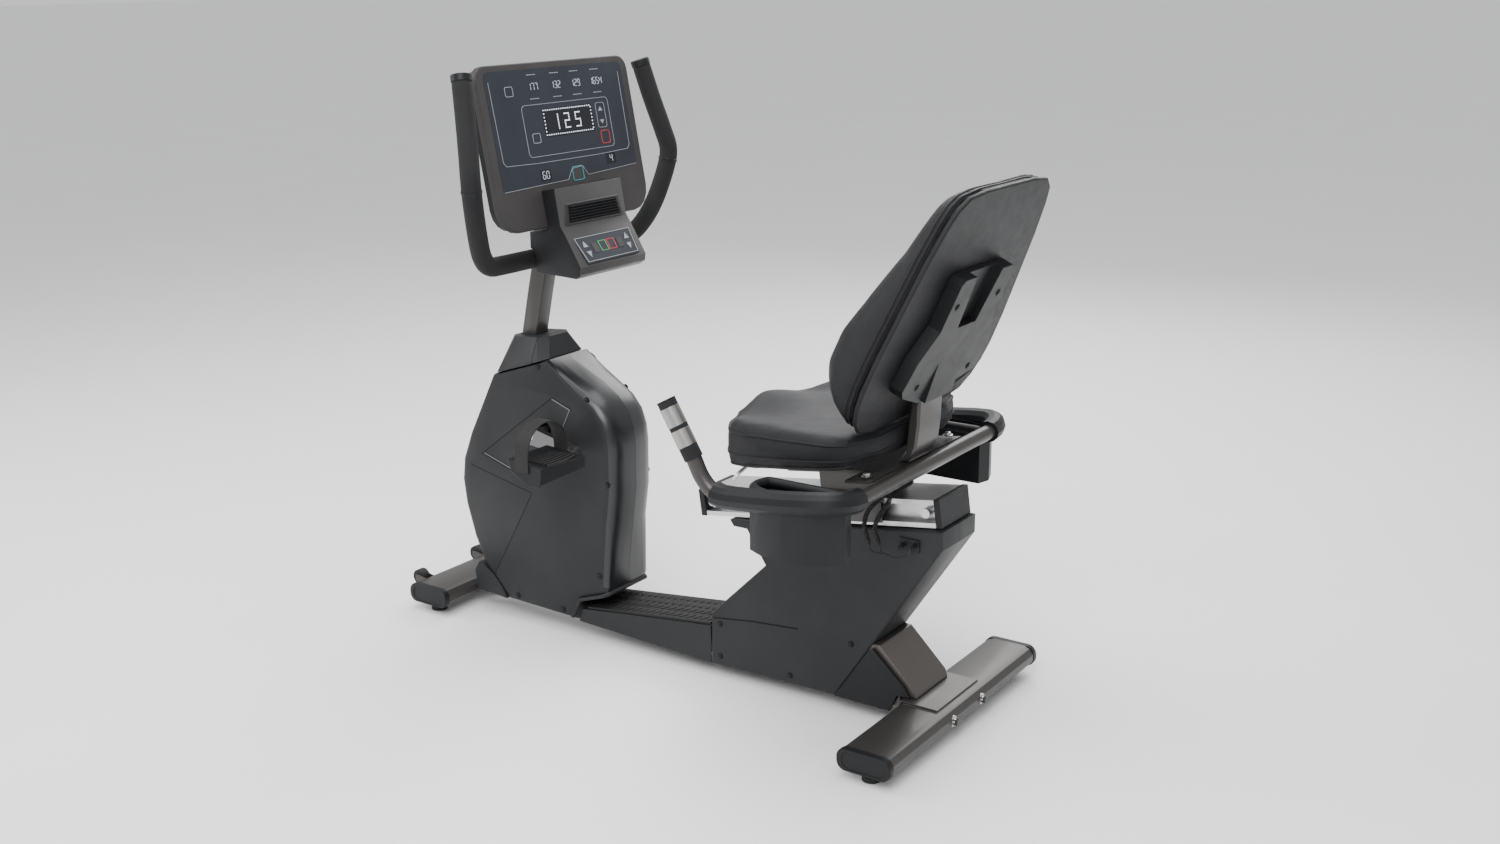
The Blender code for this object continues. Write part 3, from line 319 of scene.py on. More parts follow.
def slab(rings):
    """A closed solid through rings of points, with the first and last ring as its ends."""
    count = len(rings[0])
    points = [Vector(p) for ring in rings for p in ring]
    faces = [tuple(range(count))[::-1], tuple(range((len(rings) - 1) * count, len(rings) * count))]
    for level in range(len(rings) - 1):
        for i in range(count):
            a, b = level * count + i, level * count + (i + 1) % count
            faces.append((a, b, b + count, a + count))
    return points, faces


def tube(line, radius, sides=12, radii=None, flat=1.0):
    """A round bar along a line; radii gives its radius at each point."""
    line = [Vector(p) for p in line]
    radii = radii or [radius] * len(line)
    normal = None
    rings = []
    for i, p in enumerate(line):
        ahead = line[min(i + 1, len(line) - 1)] - line[max(i - 1, 0)]
        ahead.normalize()
        if normal is None:
            normal = ahead.orthogonal().normalized()
        normal = (normal - ahead * normal.dot(ahead)).normalized()
        side = ahead.cross(normal)
        rings.append([p + (normal * math.cos(a) + side * flat * math.sin(a)) * radii[i]
                      for a in [math.tau * k / sides for k in range(sides)]])
    return slab(rings)


def curved(points, steps):
    """A smooth line through points."""
    places = [Vector(p) for p in points]
    places = [2 * places[0] - places[1], *places, 2 * places[-1] - places[-2]]
    line = []
    for a, b, c, d in zip(places, places[1:], places[2:], places[3:]):
        for step in range(steps):
            t = step / steps
            line.append(0.5 * (2 * b + (c - a) * t + (2 * a - 5 * b + 4 * c - d) * t * t
                               + (3 * b - a - 3 * c + d) * t ** 3))
    return [*line, places[-2]]


def evenly(line, spacing):
    """The same line with its points a spacing apart."""
    line = np.array([tuple(p) for p in line], float)
    run = np.concatenate([[0], np.cumsum(np.linalg.norm(np.diff(line, axis=0), axis=1))])
    wanted = np.linspace(0, run[-1], max(int(run[-1] / spacing), 2) + 1)
    return [Vector([np.interp(w, run, line[:, k]) for k in range(3)]) for w in wanted]


class Plane:
    """A leaning plane that pieces are drawn on: across is along Y, up leans, out stands off it."""

    def __init__(self, foot, tilt):
        self.foot = Vector(foot)
        self.up = Vector((math.sin(tilt), 0.0, math.cos(tilt)))
        self.out = Vector((math.cos(tilt), 0.0, -math.sin(tilt)))

    def at(self, y, up, out=0.0):
        return self.foot + Vector((0.0, y, 0.0)) + self.up * up + self.out * out


class Wall:
    """An upright side wall: across is along X, up is Z, out is away from the bike's middle."""

    def __init__(self, side, half):
        self.side, self.half = side, half

    def at(self, x, z, out=0.0):
        return place(x, self.side * (self.half + out), z)


def plate(plane, outline, low, high):
    """A flat plate on a plane, from its outline."""
    return slab([[plane.at(a, b, out) for a, b in outline] for out in (low, high)])


def ribbon(plane, line, width, low, high, closed=False):
    """A thin flat line on a plane."""
    flat = [Vector(p) for p in line]
    count = len(flat)
    rings = []
    for i, p in enumerate(flat):
        before = flat[i - 1] if closed or i else p - (flat[1] - p)
        after = flat[(i + 1) % count] if closed or i < count - 1 else p + (p - flat[i - 1])
        a, b = (p - before).normalized(), (after - p).normalized()
        normal = Vector((-(a + b).y, (a + b).x)).normalized()
        half = 0.5 * width / max(normal.dot(Vector((-a.y, a.x))), 0.35)
        left, right = p + normal * half, p - normal * half
        rings.append([plane.at(left.x, left.y, low), plane.at(right.x, right.y, low),
                      plane.at(right.x, right.y, high), plane.at(left.x, left.y, high)])
    points, faces = slab(rings + rings[:1] if closed else rings)
    return points, faces[2:] if closed else faces


def round_box(y_from, y_to, low, high, radius, steps=4):
    """A rounded rectangle as an outline."""
    corners = ((y_to - radius, low + radius, -90), (y_to - radius, high - radius, 0),
               (y_from + radius, high - radius, 90), (y_from + radius, low + radius, 180))
    return [(y + radius * math.cos(math.radians(start + 90 * k / steps)),
             up + radius * math.sin(math.radians(start + 90 * k / steps)))
            for y, up, start in corners for k in range(steps + 1)]


def refined(node, look, width=0.0012, angle=30.0, segments=2, carve=(), flat=0.6):
    """A finer copy of a working part, with rounded edges and any recesses, shown in its place."""
    source = NODES[node]
    mesh = source.data.copy()
    obj = added(f"{node}_finish", mesh)
    work = bmesh.new()
    work.from_mesh(mesh)
    work.transform(source.matrix_world)
    bmesh.ops.remove_doubles(work, verts=work.verts, dist=0.00002)
    bmesh.ops.dissolve_limit(work, angle_limit=math.radians(flat), verts=work.verts, edges=work.edges)
    work.to_mesh(mesh)
    work.free()
    for cutter in carve:
        step = obj.modifiers.new("recess", "BOOLEAN")
        step.operation, step.solver, step.object = "DIFFERENCE", "EXACT", cutter
    if carve:
        apply_all(obj)
        for cutter in carve:
            bpy.data.objects.remove(cutter)
    obj.data.materials.clear()
    obj.data.materials.append(LOOK[look])
    finish_mesh(obj, angle)
    if width:
        rounded(obj, width, segments, angle)
    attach(obj, BODY_OF[node])
    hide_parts(node)
    return obj


def repeat_tree():
    """A node tree that sets one shape at every point of a mesh."""
    tree = bpy.data.node_groups.new("repeat at points", "GeometryNodeTree")
    socket = tree.interface.new_socket
    socket("Geometry", in_out="OUTPUT", socket_type="NodeSocketGeometry")
    socket("Geometry", in_out="INPUT", socket_type="NodeSocketGeometry")
    keys = {"unit": socket("Unit", in_out="INPUT", socket_type="NodeSocketObject").identifier,
            "look": socket("Look", in_out="INPUT", socket_type="NodeSocketMaterial").identifier}
    given, made = tree.nodes.new("NodeGroupInput"), tree.nodes.new("NodeGroupOutput")
    shape = tree.nodes.new("GeometryNodeObjectInfo")
    spread = tree.nodes.new("GeometryNodeInstanceOnPoints")
    real = tree.nodes.new("GeometryNodeRealizeInstances")
    paint = tree.nodes.new("GeometryNodeSetMaterial")
    for a, b in ((given.outputs["Unit"], shape.inputs["Object"]),
                 (given.outputs["Geometry"], spread.inputs["Points"]),
                 (shape.outputs["Geometry"], spread.inputs["Instance"]),
                 (spread.outputs[0], real.inputs[0]),
                 (real.outputs[0], paint.inputs["Geometry"]),
                 (given.outputs["Look"], paint.inputs["Material"]),
                 (paint.outputs[0], made.inputs[0])):
        tree.links.new(a, b)
    return tree, keys


REPEAT, REPEAT_KEYS = repeat_tree()


def repeated(name, shape, points, look, body, angle=35.0):
    """The same shape at each point, as one piece."""
    unit_mesh = bpy.data.meshes.new("unit")
    unit_mesh.from_pydata([tuple(p) for p in shape[0]], [], shape[1])
    unit = added("unit", unit_mesh)
    mesh = bpy.data.meshes.new(name)
    mesh.from_pydata([tuple(p) for p in points], [], [])
    obj = added(name, mesh)
    step = obj.modifiers.new("repeat", "NODES")
    step.node_group = REPEAT
    step[REPEAT_KEYS["unit"]] = unit
    step[REPEAT_KEYS["look"]] = LOOK[look]
    apply_all(obj)
    bpy.data.objects.remove(unit)
    if not obj.data.materials:
        obj.data.materials.append(LOOK[look])
    finish_mesh(obj, angle)
    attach(obj, body)
    return obj


def disc(axis, radius, height, sides=20, dome=0.0):
    """A round head that stands along an axis from the origin."""
    axis = Vector(axis).normalized()
    side = axis.orthogonal().normalized()
    other = axis.cross(side)
    rings = [(radius, -0.001), (radius, height * 0.7), (radius * 0.86, height)]
    if dome:
        rings.append((radius * 0.45, height + dome))
    return slab([[side * r * math.cos(a) + other * r * math.sin(a) + axis * h
                  for a in [math.tau * k / sides for k in range(sides)]] for r, h in rings])


def skin(obj):
    """A piece's surface, for finding where a straight line meets it."""
    points = [vertex.co for vertex in obj.data.vertices]
    return BVHTree.FromPolygons(points, [tuple(face.vertices) for face in obj.data.polygons])


def screws(name, plane, spots, body, radius=0.0055, tree=None):
    """Black round screw heads, each with a ring of painted shade round it and painted shade in its socket,
    on the skin of a piece where it is given.
    """
    axis = plane.at(0, 0, 1) - plane.at(0, 0, 0)
    points = [plane.at(a, b, 0.0) for a, b in spots]
    if tree:
        points = [tree.ray_cast(p + axis * 0.05, -axis, 0.2)[0] or p for p in points]
    # Painted shade: a dark ring round each screw head.
    repeated(f"{name}_wells", disc(axis, radius * 1.5, 0.0006), points, "groove", body)
    repeated(f"{name}_heads", disc(axis, radius, 0.0022, dome=0.0006), points, "black", body)
    # Painted shade for each head's socket, standing just above the head.
    recess = disc(axis, radius * 0.42, 0.0030, 6)
    repeated(f"{name}_sockets", recess, points, "groove", body)


# Camera, floor and light

def camera():
    yaw, pitch, roll = (math.radians(a) for a in (34.531, 15.848, -0.527))
    level = math.cos(pitch)
    ahead = Vector((-math.sin(yaw) * level, math.cos(yaw) * level, -math.sin(pitch)))
    right = Vector((math.cos(yaw), math.sin(yaw), 0.0))
    up = right.cross(ahead)
    turned = right * math.cos(roll) + up * math.sin(roll)
    upright = up * math.cos(roll) - right * math.sin(roll)
    data = bpy.data.cameras.new("camera")
    data.lens, data.sensor_width = 39.13, 36.0
    obj = added("camera", data)
    facing = Matrix((turned, upright, -ahead)).transposed().to_4x4()
    obj.matrix_world = Matrix.Translation((2.0664, -2.752, 1.522)) @ facing
    bpy.context.scene.camera = obj


def studio():
    far = 60
    points = [(-far, -far, -0.0005), (far, -far, -0.0005), (far, far, -0.0005), (-far, far, -0.0005)]
    recipe = Recipe("studio floor", (0.88, 0.88, 0.88), 0.6)
    recipe.vary_colour(recipe.noise(1.5), 0.97, 1.03)
    mesh = bpy.data.meshes.new("studio_floor")
    mesh.from_pydata(points, [], [(0, 1, 2, 3)])
    mesh.materials.append(recipe.look)
    floor = added("studio_floor", mesh)
    lamps = (("key", (1.4, -3.0, 3.2), 2.6, 150), ("fill", (-3.2, -1.6, 2.4), 2.4, 70),
             ("back", (-0.6, 3.2, 2.8), 2.6, 90), ("top", (0.0, 0.0, 3.6), 3.0, 110))
    for name, spot, size, power in lamps:
        data = bpy.data.lights.new(name, "AREA")
        data.shape, data.size, data.energy = "DISK", size, power
        lamp = added(name, data)
        lamp.location = spot
        lamp.rotation_euler = (Vector((0, 0, 0.5)) - Vector(spot)).to_track_quat("-Z", "Y").to_euler()
    world = bpy.data.worlds.new("studio")
    world.use_nodes = True
    shade = world.node_tree.nodes["Background"]
    shade.inputs["Color"].default_value = (0.95, 0.96, 0.97, 1.0)
    shade.inputs["Strength"].default_value = 0.85
    bpy.context.scene.world = world


camera()
studio()


# Cords

WIRE_RADIUS = 0.0015
COIL_MIDDLE = 0.0037
COIL_PITCH = 0.0042


def coiled(line, pitch, steps=12):
    """A helix around a line."""
    line = evenly(line, pitch / steps)
    normal = Vector((0.0, 1.0, 0.0))
    wound = []
    for i, p in enumerate(line):
        ahead = (line[min(i + 1, len(line) - 1)] - line[max(i - 1, 0)]).normalized()
        normal = (normal - ahead * normal.dot(ahead)).normalized()
        side = ahead.cross(normal)
        turn = math.tau * i / steps
        grown = min(1.0, i / steps, (len(line) - 1 - i) / steps)
        wound.append(p + (normal * math.cos(turn) + side * math.sin(turn)) * COIL_MIDDLE * grown)
    return wound


def pulse_leads():
    """Two curly leads from under the carriage to their sockets on the rear shroud."""
    wall = -0.072
    runs = (
        ("front", 0.571, 0.4035,
         ((0.5490, -0.0900, 0.5350), (0.5350, -0.0980, 0.5050), (0.5050, -0.1020, 0.4700),
          (0.4950, -0.1000, 0.4350), (0.5040, -0.0960, 0.3960))),
        ("rear", 0.597, 0.4065,
         ((0.5560, -0.1120, 0.5350), (0.5580, -0.1120, 0.5050), (0.5380, -0.1140, 0.4700),
          (0.5260, -0.1120, 0.4400), (0.5340, -0.1080, 0.4040))),
    )
    for word, x, z, coil in runs:
        middle = curved([place(*p) for p in coil], 8)
        end = middle[-1]
        ahead = (middle[-1] - middle[-2]).normalized()
        wall_y = wall - 0.016
        lead = [end, end + ahead * 0.007, end + Vector((0.007, 0.0, -0.013)),
                Vector(((end.x + x + SHIFT) / 2 + 0.004, end.y, z - 0.021)),
                place(x - 0.002, wall - 0.030, z - 0.012), place(x, wall - 0.024, z - 0.001),
                place(x, wall_y - 0.0003, z)]
        path = coiled(middle, COIL_PITCH) + evenly(curved(lead, 6), 0.002)[1:]
        length = sum((b - a).length for a, b in zip(path, path[1:]))
        points, faces = tube(path, WIRE_RADIUS, 7)
        obj = piece(f"pulse_lead_{word}", points, faces, "cord", None)
        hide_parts(f"curly_cord_{word}", f"cord_lead_{word}")
        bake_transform(obj)


pulse_leads()


# Cushions

def soft_copy(node, voxel, cap, pressure, shape=None):
    """A cushion grown from the working part: blown up a little inside its cover, then smoothed."""
    source = NODES[node]
    mesh = source.data.copy()
    obj = added(f"{node}_soft", mesh)
    mesh.transform(source.matrix_world)
    mesh.materials.clear()
    mesh.materials.append(LOOK["vinyl"])
    step = obj.modifiers.new("even", "REMESH")
    step.mode, step.voxel_size = "VOXEL", voxel
    apply_all(obj)
    rest = np.array([tuple(v.co) for v in obj.data.vertices])
    cloth = obj.modifiers.new("cover", "CLOTH")
    cloth.settings.quality = 5
    cloth.settings.mass = 0.4
    cloth.settings.tension_stiffness = cloth.settings.compression_stiffness = 30.0
    cloth.settings.bending_stiffness = 2.0
    cloth.settings.use_pressure = True
    cloth.settings.uniform_pressure_force = pressure
    cloth.settings.effector_weights.gravity = 0.0
    cloth.collision_settings.use_collision = False
    cloth.point_cache.frame_start, cloth.point_cache.frame_end = 1, 16
    for number in range(1, 17):
        bpy.context.scene.frame_set(number)
    apply_all(obj)
    moved = np.array([tuple(v.co) for v in obj.data.vertices])
    travel = moved - rest
    size = np.linalg.norm(travel, axis=1, keepdims=True)
    travel *= np.minimum(1.0, cap / np.maximum(size, 1e-9))
    for vertex, spot in zip(obj.data.vertices, rest + travel):
        vertex.co = spot
    bpy.context.scene.frame_set(1)
    relax = obj.modifiers.new("relax", "SMOOTH")
    relax.factor, relax.iterations = 0.5, 14
    finer = obj.modifiers.new("finer", "SUBSURF")
    finer.levels = finer.render_levels = 1
    apply_all(obj)
    obj.data.materials.clear()
    obj.data.materials.append(LOOK["vinyl"])
    if shape:
        for vertex in obj.data.vertices:
            vertex.co = shape(vertex.co)
    for face in obj.data.polygons:
        face.use_smooth = True
    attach(obj, BODY_OF[node])
    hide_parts(node)
    return obj


LOOK_FROM = 0.06  # how far outside a cushion's rim its welts are sought from


def on_skin(tree, looks, reach=0.09):
    """Where looks from outside first meet the cushion, leaving out any that miss it."""
    hits = [tree.ray_cast(start, (target - start).normalized(), reach)[0] for start, target in looks]
    return [hit for hit in hits if hit]


SEAT_PLAN = [(0.172, 0.0), (0.185, 0.090), (0.215, 0.165), (0.245, 0.212), (0.290, 0.232), (0.400, 0.236),
             (0.500, 0.234), (0.525, 0.218), (0.552, 0.136)]


def seat_level(x, share):
    """The height of the seat cushion's side, from 0 at its underside to 1 at its top."""
    behind = max(x - 0.245, 0.0)
    return 0.5475 + 0.139 * behind + share * (0.094 - 0.120 * behind)


def moulded_seat(p):
    """Hollows for the thighs, a raised nose between them and a dip for the sitting bones."""
    x, y = p.x - SHIFT, p.y
    low = seat_level(x, 0.0)
    height = (p.z - low) / (seat_level(x, 1.0) - low)
    share = min(max((height - 0.55) / 0.45, 0.0), 1.0)
    thigh = sum(math.exp(-((y - side * 0.115) / 0.065) ** 2) for side in (-1, 1))
    front = math.exp(-((x - 0.225) / 0.085) ** 2)
    nose = math.exp(-(y / 0.040) ** 2) * front
    dip = math.exp(-((x - 0.41) / 0.09) ** 2 - (y / 0.15) ** 2)
    return Vector((p.x, p.y, p.z + share * (0.004 * nose - 0.016 * thigh * front - 0.010 * dip)))


def seat_cushion():
    cushion = soft_copy("seat_cushion", 0.006, 0.005, 3.0, moulded_seat)
    tree = skin(cushion)
    middle = Vector((0.36, 0, 0))
    plan = [Vector((x, y, 0)) for x, y in SEAT_PLAN]
    plan += [Vector((x, -y, 0)) for x, y in reversed(SEAT_PLAN[1:])]
    rim = evenly(curved([*plan, plan[0]], 6), 0.008)
    for name, share, radius in (("top", 0.80, 0.0030), ("band", 0.30, 0.0022), ("low", 0.07, 0.0030)):
        looks = []
        for p in rim[:-1]:
            z = seat_level(p.x, share)
            far = p + (p - middle).normalized() * LOOK_FROM
            looks.append((place(far.x, far.y, z), place(middle.x, 0.0, z)))
        line = on_skin(tree, looks)
        points, faces = tube(line + line[:2], radius, 8)
        piece(f"seat_piping_{name}", points, faces, "piping", "seat")
    return cushion


RECLINE = math.radians(24.0)
BACK = Plane(place(0.556, 0.0, 0.689), RECLINE)
BACK_HALF = [(0.150, -0.045), (0.205, -0.034), (0.236, -0.006), (0.253, 0.030), (0.260, 0.070),
             (0.256, 0.140), (0.243, 0.225), (0.226, 0.330), (0.207, 0.405), (0.190, 0.442), (0.160, 0.463),
             (0.100, 0.470)]


def backrest():
    pad = soft_copy("backrest_pad", 0.006, 0.005, 3.0)
    tree = skin(pad)
    whole = BACK_HALF + [(-y, up) for y, up in reversed(BACK_HALF)]
    rim = evenly(curved([(y, up, 0) for y, up in [*whole, whole[0]]], 5), 0.008)
    middle = Vector((0, 0.2, 0))
    for number, out, radius in ((1, -0.0135, 0.0028), (2, -0.0215, 0.0022), (3, -0.030, 0.0022)):
        looks = []
        for p in rim[:-1]:
            far = p + (p - middle).normalized() * LOOK_FROM
            looks.append((BACK.at(far.x, far.y, out), BACK.at(0, middle.y, out)))
        line = on_skin(tree, looks)
        points, faces = tube(line + line[:2], radius, 8)
        piece(f"backrest_welt_{number}", points, faces, "piping", "seat")
    refined("backrest_shell", "vinyl", 0.0040, 30.0, 3)
    refined("backrest_cover", "black", 0.0022)
    refined("backrest_post", "gunmetal", 0.002)
    screws("backrest_lower", BACK, [(-0.120, 0.045), (0.120, 0.045)], "seat", 0.006)
    raised = Plane(BACK.at(0, 0, 0.030), RECLINE)
    screws("backrest_cover_low", raised, [(-0.105, 0.065), (0.105, 0.065)], "seat", 0.005)
    screws("backrest_cover_high", raised, [(-0.085, 0.240), (0.085, 0.240)], "seat", 0.005)


seat_cushion()
backrest()


# Shroud and covers

RECESS = [(-0.337, 0.574), (-0.283, 0.555), (-0.326, 0.470), (-0.385, 0.353), (-0.563, 0.406)]
CREASE = [(-0.600, 0.373), (-0.410, 0.334), (-0.541, 0.107)]
SHROUD_SCREWS = [(-0.376, 0.638), (-0.241, 0.580), (-0.187, 0.392), (-0.215, 0.170), (-0.471, 0.066),
                 (-0.330, 0.063)]
REAR_SHROUD_SCREWS = [(0.118, 0.052), (0.118, 0.128), (0.300, 0.052), (0.240, 0.330), (0.400, 0.375),
                      (0.450, 0.160)]


def cutter(shape):
    mesh = bpy.data.meshes.new("cutter")
    mesh.from_pydata([tuple(p) for p in shape[0]], [], shape[1])
    obj = added("cutter", mesh)
    finish_mesh(obj)
    return obj


def shine(obj, where):
    """Gloss black on the faces whose middles lie where asked."""
    obj.data.materials.append(LOOK["gloss"])
    for face in obj.data.polygons:
        if where(face.center):
            face.material_index = 1


def on_rim(centre):
    """Whether a point of the drive shroud is on the rim between its two side walls, behind the pedals."""
    lean = 0.20 * (0.60 - centre.z) * (centre.z > 0.57)
    return abs(centre.y) < 0.0735 and centre.x > -0.300 + lean


def inside(outline, share):
    """The outline drawn in towards the middle of the recess."""
    middle = np.mean(RECESS, axis=0)
    return [tuple(np.array(p) + (middle - p) * share) for p in outline]


def shroud():
    for side, word in SIDES:
        wall = Wall(side, 0.076)
        recess = slab([[wall.at(x, z, -0.0021) for x, z in inside(RECESS, 0.10)],
                       [wall.at(x, z, 0.0010) for x, z in inside(RECESS, -0.05)]])
        cuts = [cutter(recess), cutter(ribbon(wall, CREASE, 0.0035, -0.0010, 0.0010))]
        half = refined(f"shroud_{word}", "charcoal", 0.0, 38.0, carve=cuts, flat=0.05)
        screws(f"shroud_screws_{word}", wall, SHROUD_SCREWS, "frame", 0.005, skin(half))
        shine(half, on_rim)
        # A painted shade line round the recess, and painted highlights inside its upper and lower edges.
        line = ribbon(wall, RECESS, 0.0016, -0.0015, 0.0002, True)
        piece(f"shroud_recess_line_{word}", *line, "groove", "frame")
        line = ribbon(wall, inside(RECESS[:3], 0.035), 0.0026, -0.0018, 0.0001)
        piece(f"shroud_recess_edge_{word}", *line, "edge", "frame")
        line = ribbon(wall, inside(RECESS[3:], 0.030), 0.0018, -0.0018, 0.0001)
        piece(f"shroud_recess_low_{word}", *line, "edge", "frame")
    for node in ("neck_cover_front", "neck_cover_rear"):
        refined(node, "charcoal", 0.0016)
    for side, word in SIDES:
        refined(f"rear_shroud_{word}", "charcoal", 0.0016, 24.0)
        refined(f"leg_cover_{word}", "black", 0.0014)
        wall = Wall(side, 0.072)
        screws(f"rear_shroud_screws_{word}", wall, REAR_SHROUD_SCREWS, "frame", 0.0045)
        # Painted shade along the rear shroud's crease.
        line = ribbon(wall, [(0.100, 0.139), (0.200, 0.153), (0.320, 0.163)], 0.0028, -0.001, 0.0005)
        piece(f"rear_shroud_crease_{word}", *line, "groove", "frame")


def skirts():
    """The moulded collars where the shroud meets the beam cover and the front of the beam."""
    half = [(-0.300, -0.0775, 0.052), (-0.276, -0.0775, 0.099), (-0.206, -0.0775, 0.123),
            (-0.1965, -0.068, 0.1265)]
    line = [place(*p) for p in half] + [place(x, -y, z) for x, y, z in reversed(half)]
    piece("rear_collar", *tube(line, 0.0055, 12, flat=0.8), "charcoal", "frame")
    outline = [(-0.607, 0.106), (-0.599, 0.057), (-0.506, 0.051), (-0.521, 0.077), (-0.547, 0.104),
               (-0.583, 0.126), (-0.592, 0.130)]
    boot = slab([[place(x, y, z) for x, z in outline] for y in (-0.079, 0.079)])
    piece("front_boot", *boot, "charcoal", "frame", 0.003)


shroud()
skirts()


# Floor frame, step and rail

def step_treads():
    """Two double rows of slanted ovals along the step, which slopes up towards the rear."""
    slope, lean = math.tan(math.radians(6.7)), math.radians(24.0)
    first, spacing, count = -0.245, 0.019, 18
    turns = [math.tau * k / 14 for k in range(14)]
    oval = [(0.0052 * math.cos(a), 0.013 * math.sin(a)) for a in turns]
    turned = [(x * math.cos(lean) - y * math.sin(lean), x * math.sin(lean) + y * math.cos(lean))
              for x, y in oval]
    for side, word in SIDES:
        shape = slab([[Vector((x * k, side * y * k, h + slope * x)) for x, y in turned]
                      for k, h in ((1.0, -0.001), (1.0, 0.0012), (0.7, 0.0020))])
        spots = []
        for x in (first + spacing * i for i in range(count)):
            spots += [place(x, side * row, 0.081 + (x + 0.272) * slope) for row in (0.016, 0.048)]
        repeated(f"step_treads_{word}", shape, spots, "rubber", "frame")


def end_caps(word, x):
    """Moulded caps on both ends of a stabilizer."""
    low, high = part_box(f"{word}_stabilizer")
    middle = 0.045
    outline = round_box(x - 0.0602, x + 0.0602, middle - 0.0232, middle + 0.0232, 0.020, 6)
    for side, side_word in SIDES:
        edge = low.y if side < 0 else high.y
        rings = []
        for k, out in ((1.0, -0.010), (1.0, 0.002), (0.97, 0.0045), (0.80, 0.0045), (0.78, 0.0028)):
            ring = [place(x + (a - x) * k, 0.0, middle + (b - middle) * k) for a, b in outline]
            rings.append([Vector((p.x, edge + side * out, p.z)) for p in ring])
        piece(f"end_cap_{word}_{side_word}", *slab(rings), "black", "frame")


def leg_foot():
    """The plate and the two bolts that hold the rear leg to its stabilizer."""
    outline = ((0.578, -0.089), (0.660, -0.089), (0.660, 0.089), (0.578, 0.089))
    layers = slab([[place(x, y, z) for x, y in outline] for z in (0.0665, 0.0722)])
    piece("rear_leg_plate", *layers, "gunmetal", "frame", 0.0015)
    washer, head = disc((1, 0, 0), 0.012, 0.003, 24), disc((1, 0, 0), 0.0085, 0.009, 6)
    for side, word in SIDES:
        foot = place(0.684, side * 0.062, 0.045)
        bolt = gathered([[[p + foot for p in points], faces] for points, faces in (washer, head)])
        piece(f"leg_bolt_{word}", *bolt, "steel", "frame", 0.0006)


def floor_frame():
    refined("main_frame", "gunmetal", 0.0018)
    refined("rear_leg", "leg", 0.0030, 30.0, 3)
    for node in ("front_stabilizer", "rear_stabilizer"):
        refined(node, "gunmetal", 0.0090, 30.0, 5)
    for node in ("levelling_foot_front_left", "levelling_foot_front_right", "levelling_foot_rear_left",
                 "levelling_foot_rear_right", "transport_wheel_left", "transport_wheel_right"):
        refined(node, "rubber", 0.001)
    refined("beam_cover", "charcoal", 0.0016)
    refined("step_plate", "rubber", 0.001)
    step_treads()
    end_caps("rear", 0.628)
    end_caps("front", -0.691)
    leg_foot()


BOLT_RADIUS = 0.0075


def rail():
    refined("seat_rail", "aluminium", 0.0010)
    for node in ("rail_cap_front", "rail_cap_rear"):
        refined(node, "black", 0.0015)
    refined("seat_carriage", "gunmetal", 0.0012)
    for node in (n for n in NODES if n.startswith("seat_roller")):
        refined(node, "black", 0.0008)
    refined("cord_sockets", "black", 0.0008)
    refined("seat_lever", "steel", 0.0)


def bolts():
    """Plated bolts along the rail and under the seat."""
    tree = skin(NODES["seat_rail"])
    for side, word in SIDES:
        points = []
        for x, z in ((0.092, 0.3985), (0.620, 0.4770)):
            hit = tree.ray_cast(place(x, side * 0.2, z), Vector((0, -side, 0)), 0.4)[0]
            points.append(hit or place(x, side * 0.06, z))
        head = disc((0, side, 0), BOLT_RADIUS, 0.0045, 20, 0.001)
        repeated(f"rail_bolts_{word}", head, points, "steel", "frame")
        point = place(0.538, side * 0.166, 0.565)
        head = disc((0, 0, 1), BOLT_RADIUS, 0.0060, 6, 0.001)
        repeated(f"seat_bolt_{word}", head, [point], "steel", "seat")
        repeated(f"seat_washer_{word}", disc((0, 0, 1), 0.0105, 0.0016), [point], "steel", "seat")


bolts()


def drive():
    refined("flywheel", "iron", 0.001)
    for node in ("crank_arm_left", "crank_arm_right"):
        refined(node, "dark_steel", 0.002)
    refined("crank_axle", "steel", 0.0008)
    for side, word in SIDES:
        refined(f"pedal_{word}", "black", 0.002)
        refined(f"pedal_strap_{word}", "rubber", 0.0008)
        low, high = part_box(f"pedal_{word}")
        middle = (low + high) / 2
        top = high.z - 0.0026
        half = side * (high.y - low.y) * 0.36
        arrow = ((0.0, -half), (0.006, -half), (0.011, 0.0), (0.006, half), (0.0, half), (0.005, 0.0))
        ribs = []
        for x in (middle.x - 0.030 + i * 0.0115 for i in range(7)):
            ribs.append(slab([[Vector((x + a, middle.y + y, z)) for a, y in arrow]
                              for z in (top - 0.006, top)]))
        piece(f"pedal_treads_{word}", *gathered(ribs), "rubber", BODY_OF[f"pedal_{word}"])


floor_frame()
rail()
drive()


# Handles and cup holders

BAR_HALF = [(-0.3605, 0.0, 0.892), (-0.3600, 0.185, 0.892), (-0.355, 0.236, 0.897), (-0.341, 0.272, 0.924),
            (-0.323, 0.301, 0.975), (-0.307, 0.326, 1.050), (-0.303, 0.333, 1.095), (-0.312, 0.325, 1.140),
            (-0.331, 0.309, 1.215), (-0.351, 0.294, 1.298)]
SEAT_TUBE = [(0.199, 0.350, 0.7055), (0.2265, 0.346, 0.6538), (0.254, 0.342, 0.6020), (0.273, 0.339, 0.5620),
             (0.302, 0.337, 0.5355), (0.345, 0.340, 0.5337), (0.465, 0.349, 0.5485), (0.545, 0.341, 0.5580),
             (0.574, 0.313, 0.5565), (0.580, 0.270, 0.5530), (0.579, 0.200, 0.5520)]


